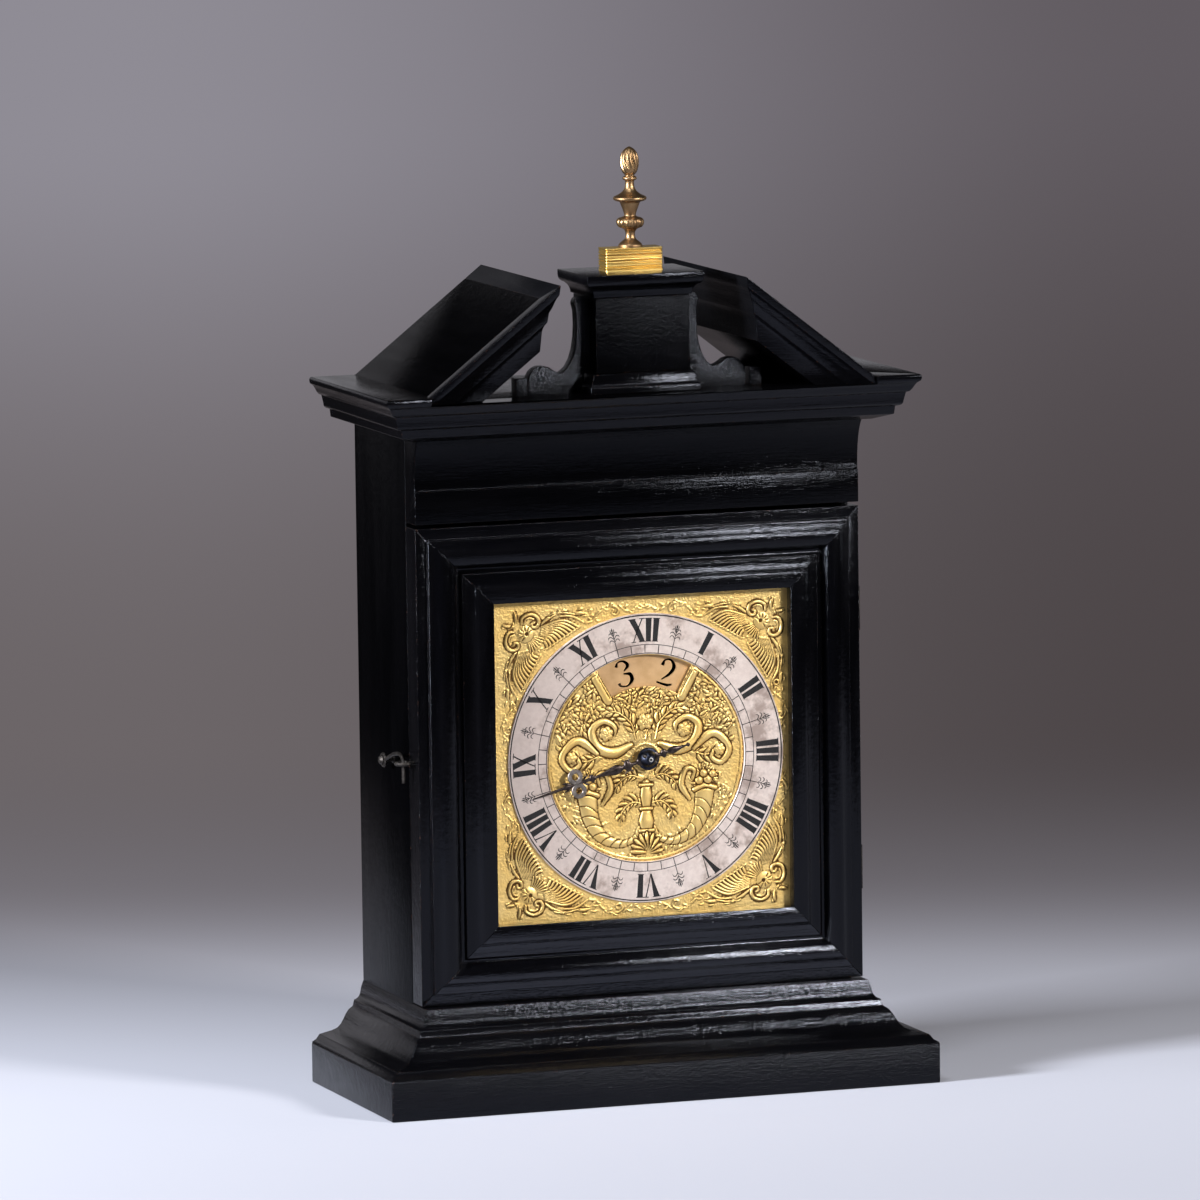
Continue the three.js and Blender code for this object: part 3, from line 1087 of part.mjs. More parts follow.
function addWinding() {
  const [gx, gz] = BARREL_CENTRE;
  const ratchetFront = REAR_BACK + RATCHET.clear;
  const ratchetBack = ratchetFront + RATCHET.thickness;
  const arbor = bar(WINDING.radius, FRAME_FRONT, ratchetBack, 'y', [gx, 0, gz]);
  const half = WINDING.square / 2;
  const squareEnd = ratchetBack + WINDING.squareLength;
  const square = box([gx - half, ratchetBack - 1, gz - half], [gx + half, squareEnd, gz + half]);
  const pitch = 2 * Math.PI / RATCHET.teeth;
  const rim = steps(RATCHET.teeth).flatMap((tooth) => [
    onClock(BARREL_CENTRE, RATCHET.radius, tooth * pitch),
    onClock(BARREL_CENTRE, RATCHET.radius - RATCHET.depth, tooth * pitch + 0.02),
    onClock(BARREL_CENTRE, RATCHET.radius - RATCHET.depth * 0.55, (tooth + 0.45) * pitch),
  ]);
  const hookMiddle = (FRAME_BACK + REAR_FRONT) / 2;
  const hook = box(
    [gx - WINDING.hook, hookMiddle - WINDING.hookLength / 2, gz + WINDING.radius * 0.8],
    [gx + WINDING.hook, hookMiddle + WINDING.hookLength / 2, gz + WINDING.radius + WINDING.hook],
  );
  add('winding_arbor', join(arbor, square, slabY(rim, ratchetFront, ratchetBack), hook), IRON);

  // The click hangs from its screw above the ratchet, and its nose falls in behind a tooth
  const tooth = pitch * CLICK.tooth;
  const root = RATCHET.radius - RATCHET.depth;
  const [px, pz] = CLICK_PIVOT;
  const body = [
    onClock(BARREL_CENTRE, root + 1.3 * RUN, tooth + 0.1 * pitch),
    onClock(BARREL_CENTRE, root + 2.3 * RUN, tooth + 0.22 * pitch),
    onClock(BARREL_CENTRE, RATCHET.radius + 0.4 * CLICK.nose, tooth + 0.4 * pitch),
    onClock(BARREL_CENTRE, RATCHET.radius + CLICK.nose, tooth + pitch),
    [px, pz],
    onClock(BARREL_CENTRE, RATCHET.radius + CLICK.nose, tooth + 0.08 * pitch),
  ];
  const clickFront = REAR_BACK + RUN;
  const clickBack = ratchetBack;
  const hub = bar(CLICK.radius, clickFront, clickBack, 'y', [px, 0, pz], 14);
  const stem = bar(CLICK.stem, REAR_FRONT + RUN, clickFront + 1, 'y', [px, 0, pz], 12);
  add('click', join(slabY(body, ratchetFront, clickBack), hub, stem), IRON);
}

// Lamp on its bracket behind the opening in the dial

function addLamp() {
  const bottom = DIAL_Z + LAMP_PLACE.aboveDial;
  const left = DIAL_X - BRACKET.width / 2;
  const right = DIAL_X + BRACKET.width / 2;
  const shelf = box([left, LAMP_Y - LAMP.radius, bottom - BRACKET.thickness], [right, INNER_BACK, bottom]);
  const flangeFront = INNER_BACK - BRACKET.thickness;
  const flange = box([left, flangeFront, bottom - BRACKET.flange], [right, INNER_BACK, bottom]);
  add('lamp_bracket', join(shelf, flange), IRON);
  const { radius, height, shoulder, spout, spoutHeight, wick } = LAMP;
  const body = turned(
    [
      [0, 0], [radius, 0], [radius, height - shoulder], [spout + 2, height], [spout, height + 2],
      [spout, height + spoutHeight], [wick, height + spoutHeight], [wick, height + spoutHeight + wick],
      [0, height + spoutHeight + wick],
    ],
    'z',
    [DIAL_X, LAMP_Y, bottom],
    20,
  );
  add('lamp', body, BRASS);
}

addCarcase();
addMitredMoulding('base_moulding', baseProfile(), EBONISED);
addMitredMoulding('cornice', corniceProfile(), EBONISED, withoutCrown);
addPediment();
addPedestal();
addDoorFrame();
addHinges();
addHook();
addDial();
addHourWork();
addTrain();
addPlates();
addPendulum();
addWinding();
addLamp();

export default object;
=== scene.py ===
import math
import random
from contextlib import contextmanager

import bmesh
import bpy
import numpy as np
from mathutils import Matrix, Vector


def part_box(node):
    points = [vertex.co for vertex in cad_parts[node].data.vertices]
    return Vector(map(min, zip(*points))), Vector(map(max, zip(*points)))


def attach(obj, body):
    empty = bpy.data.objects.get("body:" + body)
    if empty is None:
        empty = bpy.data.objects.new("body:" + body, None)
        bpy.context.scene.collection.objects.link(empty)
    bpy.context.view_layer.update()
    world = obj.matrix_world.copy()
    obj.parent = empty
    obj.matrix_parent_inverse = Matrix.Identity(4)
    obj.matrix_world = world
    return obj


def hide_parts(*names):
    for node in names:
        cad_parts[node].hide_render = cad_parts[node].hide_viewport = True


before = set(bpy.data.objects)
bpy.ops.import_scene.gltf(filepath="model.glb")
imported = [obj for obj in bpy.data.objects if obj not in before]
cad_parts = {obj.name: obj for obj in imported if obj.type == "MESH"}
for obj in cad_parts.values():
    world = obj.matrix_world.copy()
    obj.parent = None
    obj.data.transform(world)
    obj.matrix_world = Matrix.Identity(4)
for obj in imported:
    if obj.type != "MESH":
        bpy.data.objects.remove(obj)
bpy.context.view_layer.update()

MM = 0.001
TAU = 2 * math.pi
AZIMUTH, ELEVATION, ROLL = (math.radians(a) for a in (-19.28, 7.24, -0.76))


# Camera: the photograph's standpoint and long lens

def stand_camera():
    forward = Vector((-math.sin(AZIMUTH) * math.cos(ELEVATION),
                      math.cos(AZIMUTH) * math.cos(ELEVATION), -math.sin(ELEVATION)))
    right = Vector((math.cos(AZIMUTH), math.sin(AZIMUTH), 0))
    up = right.cross(forward)
    turned_right = math.cos(ROLL) * right + math.sin(ROLL) * up
    turned_up = math.cos(ROLL) * up - math.sin(ROLL) * right
    camera = bpy.data.objects.new("camera", bpy.data.cameras.new("camera"))
    camera.data.lens = 318
    camera.data.sensor_width = 36
    camera.data.clip_end = 100
    rotation = Matrix((turned_right, turned_up, -forward)).transposed()
    camera.matrix_world = Matrix.Translation((-2.04885, -5.82282, 1.07139)) @ rotation.to_4x4()
    bpy.context.collection.objects.link(camera)
    bpy.context.scene.camera = camera


stand_camera()


# Finishes: a material is written as arithmetic on its sockets

class Value:
    """A shader socket that can be used in arithmetic; each step adds a Math node."""

    def __init__(self, graph, socket):
        self.graph, self.socket = graph, socket

    def __add__(self, other):
        return self.graph.maths("ADD", self, other)

    __radd__ = __add__

    def __mul__(self, other):
        return self.graph.maths("MULTIPLY", self, other)

    def __truediv__(self, other):
        return self.graph.maths("DIVIDE", self, other)

    def range(self, low, high, to_low=0.0, to_high=1.0, kind="SMOOTHSTEP"):
        sockets = {"Value": self, "From Min": low, "From Max": high, "To Min": to_low, "To Max": to_high}
        return self.graph.node("MapRange", {"interpolation_type": kind}, sockets)


class Graph:
    """The nodes of a material or of the world."""

    def __init__(self, tree):
        self.tree = tree

    def node(self, kind, settings, sockets, output=0):
        node = self.tree.nodes.new("ShaderNode" + kind)
        for setting, value in settings.items():
            setattr(node, setting, value)
        for socket, value in sockets.items():
            self.feed(node.inputs[socket], value)
        return Value(self, node.outputs[output])

    def feed(self, socket, value):
        if isinstance(value, Value):
            self.tree.links.new(value.socket, socket)
        else:
            socket.default_value = value

    def maths(self, operation, *values):
        return self.node("Math", {"operation": operation}, dict(enumerate(values)))

    def along(self, vector, axis):
        return self.node("SeparateXYZ", {}, {"Vector": vector}, axis)


class Finish(Graph):
    """One procedural material, built on a Principled shader."""

    def __init__(self, name, slot, **constants):
        self.slot = slot
        self.material = bpy.data.materials.new(name)
        self.material.use_nodes = True
        super().__init__(self.material.node_tree)
        self.shader = self.tree.nodes["Principled BSDF"]
        self.set(**constants)

    def set(self, **sockets):
        for socket, value in sockets.items():
            self.feed(self.shader.inputs[socket.replace("_", " ")], value)

    def place(self, stretch=(1, 1, 1)):
        """Object coordinates in millimetres, divided along each axis by the stretch."""
        sockets = {0: self.node("TexCoord", {}, {}, "Object"), 1: tuple(1000 / s for s in stretch)}
        return self.node("VectorMath", {"operation": "MULTIPLY"}, sockets)

    def noise(self, size, detail=3.0, roughness=0.5, stretch=(1, 1, 1)):
        sockets = {"Vector": self.place(stretch), "Scale": 1 / size, "Detail": detail, "Roughness": roughness}
        return self.node("TexNoise", {}, sockets, "Fac")

    def cells(self, size):
        return self.node("TexVoronoi", {}, {"Vector": self.place(), "Scale": 1 / size}, "Distance")

    def marked(self, name):
        return self.node("Attribute", {"attribute_name": name}, {}, "Fac")

    def blend(self, share, first, second):
        colours = [c if isinstance(c, Value) else (*c, 1.0) for c in (first, second)]
        settings = {"data_type": "RGBA", "clamp_factor": True}
        return self.node("Mix", settings, {0: share, 6: colours[0], 7: colours[1]}, 2)

    def cover(self, colour, roughness, height, depth):
        """What changes over the surface; the bump's height runs from 0 to 1 over a depth in millimetres."""
        bump = self.node("Bump", {}, {"Height": height, "Strength": 1.0, "Distance": depth * MM})
        self.set(Base_Color=colour, Roughness=roughness, Normal=bump)
        return self


def ebonised(name, stretch, worn=0.0, matt=0.0, gloss=1.0):
    """Stained and polished pearwood: blue-black, its grain breaking the gloss, a little brown on its edges; the less
    gloss it is given, the darker its colour, as a painted shade.
    """
    slot = "worn_wood" if worn else "ebonised_wood"
    wood = Finish(name, slot, Specular_IOR_Level=0.19 * gloss, Specular_Tint=(0.8, 0.85, 1, 1))
    fibres = wood.noise(1.1, 3.0, 0.6, stretch)
    pores = wood.noise(0.5, 2.0, 0.6, tuple(s / 3 + 0.67 for s in stretch))
    figure = wood.noise(11, stretch=tuple(s / 2 + 0.5 for s in stretch))
    chips = wood.noise(1.5, 5.0, 0.72)
    dents = wood.noise(4.5, 3.0, 0.6)
    edge = wood.marked("edge")
    spots = chips.range(0.77 - 0.08 * worn, 0.84 - 0.08 * worn) * (0.3 + worn)
    wear = edge * chips.range(0.56, 0.68) * 0.6 + spots
    # painted shade: a finish given less gloss also gets a darker stain, so that the faces using it look less lit
    painted_shade = min(1, 0.25 + 0.75 * gloss)
    stain = [tuple(c * painted_shade for c in colour) for colour in ((0.001, 0.001, 0.0014), (0.002, 0.0019, 0.0024))]
    black = wood.blend(figure.range(0.35, 0.7), *stain)
    streaked = wood.blend(fibres.range(0.6, 0.8) * 0.5 * painted_shade, black, (0.004, 0.004, 0.0055))
    colour = wood.blend(wear.range(0.1, 0.9), streaked, (0.09, 0.045, 0.03))
    roughness = 0.04 + matt + 0.1 * worn + pores * 0.08 + figure.range(0.3, 0.7) * 0.06 + wear.range(0, 1) * 0.2
    relief = fibres + pores * 0.4 + chips * (0.3 + 2.6 * worn) + dents * (0.8 + 2.0 * worn) + edge * chips * 1.4
    return wood.cover(colour, roughness, relief, 0.2 + 0.16 * worn)


def gilt(name, pale, deep, roughness, dull):
    """Fire-gilt brass with dirt in specks and stains, and the hollows that the mark called cavity shows darkened by
    dirt and painted shade.
    """
    gold = Finish(name, "gilt_brass", Metallic=1.0)
    cavity = gold.marked("cavity")
    cloud = gold.noise(15)
    speck = gold.noise(0.6, 3.0, 0.65)
    stain = gold.noise(5, 4.0, 0.7)
    bright = gold.blend(cloud.range(0.3, 0.7), pale, deep)
    # dirt, and painted shade in the hollows: the cavity mark darkens and browns every recess of the chasing
    dirt_and_hollow_shade = speck.range(0.6, 0.8) * 0.3 + stain.range(0.6, 0.78) * 0.35 + cavity
    colour = gold.blend(dirt_and_hollow_shade.range(0, 1) * dull * 1.6, bright, (0.11, 0.055, 0.018))
    roughness = roughness + cloud.range(0.3, 0.7) * 0.08 + dirt_and_hollow_shade.range(0, 1) * 0.2
    return gold.cover(colour, roughness, speck + gold.cells(0.7) * 0.7, 0.05)


def brass():
    metal = Finish("brass", "brass", Metallic=1.0)
    lines = metal.noise(0.3, stretch=(30, 1, 1))
    cloud = metal.noise(11)
    colour = metal.blend(cloud.range(0.35, 0.7), (0.66, 0.46, 0.19), (0.5, 0.33, 0.13))
    return metal.cover(colour, 0.28 + lines * 0.16 + cloud * 0.08, lines, 0.01)


def silvered():
    """Silvered brass: a soft pinkish grey with tarnish in smudges, heavier on the right, and a painted shade over its
    left side.
    """
    silver = Finish("silvered_ring", "silvered_brass", Metallic=0.75)
    across = silver.along(silver.place(), "X")
    smudge = silver.noise(17, 4.0, 0.62)
    fine = silver.noise(3.1, 4.0, 0.7)
    rubbed = silver.noise(0.35, stretch=(14, 1, 5))
    tarnish = (smudge + across.range(-90, 80, 0.0, 0.12) + fine * 0.16).range(0.62, 0.84)
    fresh = silver.blend(fine.range(0.35, 0.7), (0.79, 0.665, 0.6), (0.9, 0.775, 0.7))
    # painted shade: the silver turns darker towards the left, where less light falls
    fresh = silver.blend(across.range(-85, 20, 0.5, 0.0), fresh, (0.5, 0.4, 0.36))
    aged = silver.blend(tarnish * 0.75, fresh, (0.2, 0.14, 0.115))
    pits = silver.noise(1.1, 3.0, 0.7).range(0.68, 0.74) * (0.25 + tarnish)
    colour = silver.blend(pits, aged, (0.045, 0.034, 0.03))
    return silver.cover(colour, 0.36 + tarnish * 0.16 + rubbed * 0.1, rubbed + fine * 0.5, 0.012)


def dark_wax():
    """Black wax that fills the engraving."""
    wax = Finish("dark_wax", "blued_steel", Specular_IOR_Level=0.3)
    grain = wax.noise(0.8, 4.0)
    colour = wax.blend(grain.range(0.4, 0.75), (0.006, 0.0055, 0.006), (0.022, 0.019, 0.018))
    return wax.cover(colour, 0.42 + grain * 0.2, grain, 0.02)


def steel(name, slot, dark, light, roughness, size=2.0):
    """Steel, and the other metals that only differ from it in colour and in the size of their clouds."""
    metal = Finish(name, slot, Metallic=1.0)
    cloud = metal.noise(size, 4.0, 0.6)
    spots = metal.noise(size * 0.35, 3.0, 0.7)
    colour = metal.blend(cloud.range(0.3, 0.72), dark, light)
    roughness = roughness + cloud * 0.12 + spots.range(0.55, 0.8) * 0.2
    return metal.cover(colour, roughness, cloud + spots * 0.6, 0.03)


def copper():
    """The numeral disc: rubbed copper, mottled brown and pink."""
    metal = Finish("numeral_disc_copper", "copper", Metallic=0.55)
    cloud = metal.noise(9, 4.0, 0.6)
    spots = metal.noise(1.2, 4.0, 0.65)
    warm = metal.blend(cloud.range(0.32, 0.7), (0.6, 0.38, 0.19), (0.5, 0.31, 0.14))
    colour = metal.blend(spots.range(0.6, 0.85) * 0.45, warm, (0.3, 0.15, 0.09))
    return metal.cover(colour, 0.46 + cloud * 0.14, spots, 0.015)


ALONG_X = (13, 1, 1)
ALONG_Y = (1, 13, 1)
ALONG_Z = (1, 1, 13)
wood_x = ebonised("ebonised_wood_lengthwise", ALONG_X)
wood_y = ebonised("ebonised_wood_returns", ALONG_Y)
wood_z = ebonised("ebonised_wood_upright", ALONG_Z)
dull_y = ebonised("ebonised_wood_unpolished", ALONG_Y, 0, 0.3)
polished_x = ebonised("ebonised_wood_polished", ALONG_X, 0, 0, 2.5)
# frieze_x, side_z, slope_y and worn_z take less gloss, and with it a darker colour: painted shade
frieze_x = ebonised("ebonised_wood_frieze", ALONG_X, 0, 0, 0.5)
side_z = ebonised("ebonised_wood_side", ALONG_Z, 0, 0.06, 0.15)
slope_y = ebonised("ebonised_wood_slope", ALONG_Y, 0, 0.06, 0.15)
pitted_z = ebonised("ebonised_wood_pitted", ALONG_Z, 0.6, 0, 2.4)
worn_x = ebonised("worn_wood_lengthwise", ALONG_X, 0.45)
worn_z = ebonised("worn_wood_upright", ALONG_Z, 0.45, 0, 0.45)
chased_gilt = gilt("chased_gilt", (0.89, 0.64, 0.25), (0.8, 0.54, 0.18), 0.42, 0.8)
smooth_gilt = gilt("turned_gilt", (0.44, 0.285, 0.14), (0.25, 0.15, 0.075), 0.36, 0.7)
block_gilt = gilt("block_gilt", (0.78, 0.56, 0.19), (0.6, 0.4, 0.12), 0.34, 0.6)
plain_brass = brass()
ring_silver = silvered()
black_wax = dark_wax()
hand_steel = steel("hand_steel", "blued_steel", (0.035, 0.027, 0.026), (0.085, 0.066, 0.06), 0.3)
dome_steel = steel("dome_steel", "blued_steel", (0.012, 0.014, 0.022), (0.03, 0.034, 0.05), 0.3)
# the loops' steel is lighter than the rest of the hand: a painted sheen where their flat faces catch the light
loop_steel_painted_sheen = steel("loop_steel_painted_sheen", "blued_steel", (0.15, 0.13, 0.118), (0.3, 0.265, 0.24), 0.36)
bright_steel = steel("bright_steel", "steel", (0.5, 0.49, 0.47), (0.7, 0.68, 0.65), 0.3)
black_iron = steel("wrought_iron", "wrought_iron", (0.028, 0.025, 0.024), (0.075, 0.066, 0.06), 0.46, 3.0)
disc_copper = copper()
lamp_copper = steel("lamp_copper", "copper", (0.36, 0.17, 0.1), (0.6, 0.33, 0.2), 0.3, 8.0)
bob_lead = steel("bob_lead", "lead", (0.12, 0.12, 0.125), (0.25, 0.25, 0.26), 0.5, 4.0)


# Making pieces: everything is laid out in millimetres and stored in metres

def add_piece(name, mesh, finish, body, *nodes, smooth=32):
    mesh.name = name
    piece = bpy.data.objects.new(name, mesh)
    bpy.context.collection.objects.link(piece)
    mesh.materials.clear()
    mesh.materials.append(finish.material)
    mesh.shade_smooth()
    mesh.set_sharp_from_angle(angle=math.radians(smooth))
    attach(piece, body)
    if nodes:
        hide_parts(*nodes)


@contextmanager
def editing(mesh):
    """The mesh opened for changes, which it keeps at the end."""
    work = bmesh.new()
    work.from_mesh(mesh)
    yield work
    work.to_mesh(mesh)
    work.free()


def merged(parts):
    mesh = bpy.data.meshes.new("merged")
    with editing(mesh) as work:
        for part in parts:
            work.from_mesh(part)
    return mesh


def loft(rings, closed=False):
    """Rings of equally many points skinned one to the next, with capped ends unless the loft closes on itself."""
    count = len(rings[0])
    points = [tuple(c * MM for c in point) for ring in rings for point in ring]
    faces = []
    for r in range(len(rings) if closed else len(rings) - 1):
        a, b = r * count, (r + 1) % len(rings) * count
        faces += [(a + i, a + (i + 1) % count, b + (i + 1) % count, b + i) for i in range(count)]
    if not closed:
        faces += [tuple(range(count))[::-1], tuple(range(len(points) - count, len(points)))]
    mesh = bpy.data.meshes.new("loft")
    mesh.from_pydata(points, [], faces)
    mesh.validate()
    with editing(mesh) as work:
        bmesh.ops.recalc_face_normals(work, faces=work.faces)
    return mesh


def lathe(profile, centre, axis, segments, lobes=lambda place, angle: 1):
    """A profile of (radius, place) turned about an axis; lobes(place, angle) swells or pinches the radius."""
    rings = []
    for radius, place in profile:
        ring = []
        for i in range(segments):
            angle = TAU * i / segments
            r = max(radius, 0.01) * lobes(place, angle)
            u, v = r * math.cos(angle), r * math.sin(angle)
            offset = {"y": (v, place, u), "z": (u, v, place)}[axis]
            ring.append(tuple(c + o for c, o in zip(centre, offset)))
        rings.append(ring)
    return loft(rings)


def turned_ring(section, count):
    """A ring about the hand's axis, with a section of (radius, y)."""
    return loft([[(DIAL_X + r * math.sin(a), y, DIAL_Z + r * math.cos(a)) for r, y in section]
                 for a in np.linspace(0, TAU, count, endpoint=False)], closed=True)


def slab(outline, front, back, holes=()):
    """A flat outline in the plane of the dial, with holes, given its thickness along Y."""
    curve = bpy.data.curves.new("outline", "CURVE")
    curve.dimensions = "2D"
    curve.fill_mode = "BOTH"
    curve.extrude = (back - front) / 2
    for loop in (outline, *holes):
        spline = curve.splines.new("POLY")
        spline.points.add(len(loop) - 1)
        spline.points.foreach_set("co", [c for u, v in loop for c in (u, v, 0, 1)])
        spline.use_cyclic_u = True
    flat = bpy.data.objects.new("outline", curve)
    bpy.context.collection.objects.link(flat)
    mesh = bpy.data.meshes.new_from_object(flat)
    bpy.data.objects.remove(flat)
    stand = Matrix.Translation((0, (front + back) / 2 * MM, 0)) @ Matrix.Rotation(math.pi / 2, 4, "X")
    mesh.transform(stand @ Matrix.Scale(MM, 4))
    with editing(mesh) as work:
        bmesh.ops.remove_doubles(work, verts=work.verts, dist=1e-7)
        bmesh.ops.recalc_face_normals(work, faces=work.faces)
    return mesh


# Curves

def pairs(*numbers):
    return list(zip(numbers[::2], numbers[1::2]))


def polar(centre, radius, angle):
    return centre[0] + radius * math.cos(angle), centre[1] + radius * math.sin(angle)


def smooth_path(points, count):
    """A curve through the points, in as many equal steps of the parameter as asked."""
    points = np.array(points, float)
    ends = np.vstack([2 * points[0] - points[1], points, 2 * points[-1] - points[-2]])
    t = np.linspace(0, len(points) - 1, count)
    i = np.clip(t.astype(int), 0, len(points) - 2)
    f = (t - i)[:, None]
    p0, p1, p2, p3 = (ends[i + k] for k in range(4))
    return 0.5 * (2 * p1 + (p2 - p0) * f + (2 * p0 - 5 * p1 + 4 * p2 - p3) * f ** 2
                  + (3 * p1 - p0 - 3 * p2 + p3) * f ** 3)


def fillet_curve(start, control, end, count):
    return [tuple((1 - t) ** 2 * a + 2 * t * (1 - t) * b + t * t * c for a, b, c in zip(start, control, end))
            for t in np.linspace(0, 1, count)]


def lengths_to(points):
    """How far along a path each of its points lies."""
    return np.concatenate([[0], np.cumsum(np.hypot(*np.diff(points, axis=0).T))])


def spread(values, shares):
    """Values spread evenly over a path, read at shares of its length."""
    return np.interp(shares, np.linspace(0, 1, len(values)), values)


def ribbon(points, widths, count=14):
    """The outline of a curved stroke with a varying width."""
    path = smooth_path(points, count)
    half = spread(widths, np.linspace(0, 1, count)) / 2
    heading = np.gradient(path, axis=0)
    normal = np.stack([-heading[:, 1], heading[:, 0]], 1)
    normal /= np.maximum(np.hypot(*normal.T), 1e-9)[:, None]
    left, right = path + normal * half[:, None], path - normal * half[:, None]
    return [tuple(p) for p in (*left, *right[::-1])]


# Timber: each board and moulding keeps its shape and gets rounded, lightly worn arrises

def soften(node, finish, width):
    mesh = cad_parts[node].data.copy()
    with editing(mesh) as work:
        bmesh.ops.remove_doubles(work, verts=work.verts, dist=1e-6)
        bmesh.ops.dissolve_limit(work, angle_limit=math.radians(0.8), verts=work.verts, edges=work.edges)
        sharp = math.radians(38)
        edges = [e for e in work.edges if len(e.link_faces) == 2 and e.calc_face_angle() > sharp]
        bevelled = bmesh.ops.bevel(work, geom=edges, offset=width * MM, offset_type="OFFSET", segments=2,
                                   profile=0.5, affect="EDGES", clamp_overlap=True)
        mark = work.loops.layers.float_color.new("edge")
        rounded = set(bevelled["faces"])
        for face in work.faces:
            for corner in face.loops:
                corner[mark] = (1, 1, 1, 1) if face in rounded else (0, 0, 0, 1)
        bmesh.ops.recalc_face_normals(work, faces=work.faces)
    add_piece(node + "_finished", mesh, finish, "front_door" if node.startswith("door_") else "case", node)


def finish_timber():
    """Each board's finish and the width of its rounding; a star stands for left and then right."""
    for finish, width, name in (
            (worn_x, 0.9, "plinth_board"), (wood_x, 0.5, "front_sill"), (frieze_x, 0.5, "frieze_board"),
            (side_z, 0.7, "side_board_*"), (wood_z, 0.4, "back_board"), (wood_x, 0.4, "top_board"),
            (polished_x, 0.4, "base_moulding_front"), (wood_y, 0.4, "base_moulding_*"),
            (wood_x, 0.4, "cornice_front"), (wood_y, 0.4, "cornice_*"), (slope_y, 0.5, "pediment_core_*"),
            (wood_x, 0.4, "rake_moulding_*"), (dull_y, 0.4, "return_moulding_*"), (worn_x, 0.5, "pediment_block_*"),
            (wood_x, 0.6, "pedestal_base"), (worn_z, 0.8, "pedestal_die"), (wood_x, 0.4, "pedestal_cap"),
            (pitted_z, 0.5, "fret_*"), (wood_z, 0.4, "door_stile_*"), (wood_x, 0.4, "door_rail_top"),
            (polished_x, 0.4, "door_rail_bottom")):
        for side in ("left", "right") if "*" in name else ("",):
            soften(name.replace("*", side), finish, width)


# Dial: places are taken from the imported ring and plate

ring_low, ring_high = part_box("chapter_ring")
plate_low, plate_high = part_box("dial_plate")
disc_low, disc_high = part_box("numeral_disc")
hand_low, hand_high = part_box("hour_hand")
DIAL_X = (ring_low.x + ring_high.x) / 2 / MM
DIAL_Z = (ring_low.z + ring_high.z) / 2 / MM
RING_OUTER = (ring_high.x - ring_low.x) / 2 / MM
RING_INNER = RING_OUTER - 24.2
RING_FRONT = ring_low.y / MM
PLATE_FRONT = plate_low.y / MM
APERTURE_OUTER = RING_INNER - 0.6
APERTURE_INNER = APERTURE_OUTER - 18.6
APERTURE_HALF = math.radians(29)


def dial_arc(radius, count, start=0.0, end=TAU, closed=False):
    """Places round the hand's axis, clockwise from twelve."""
    return [(radius * math.sin(a), radius * math.cos(a)) for a in np.linspace(start, end, count, endpoint=not closed)]


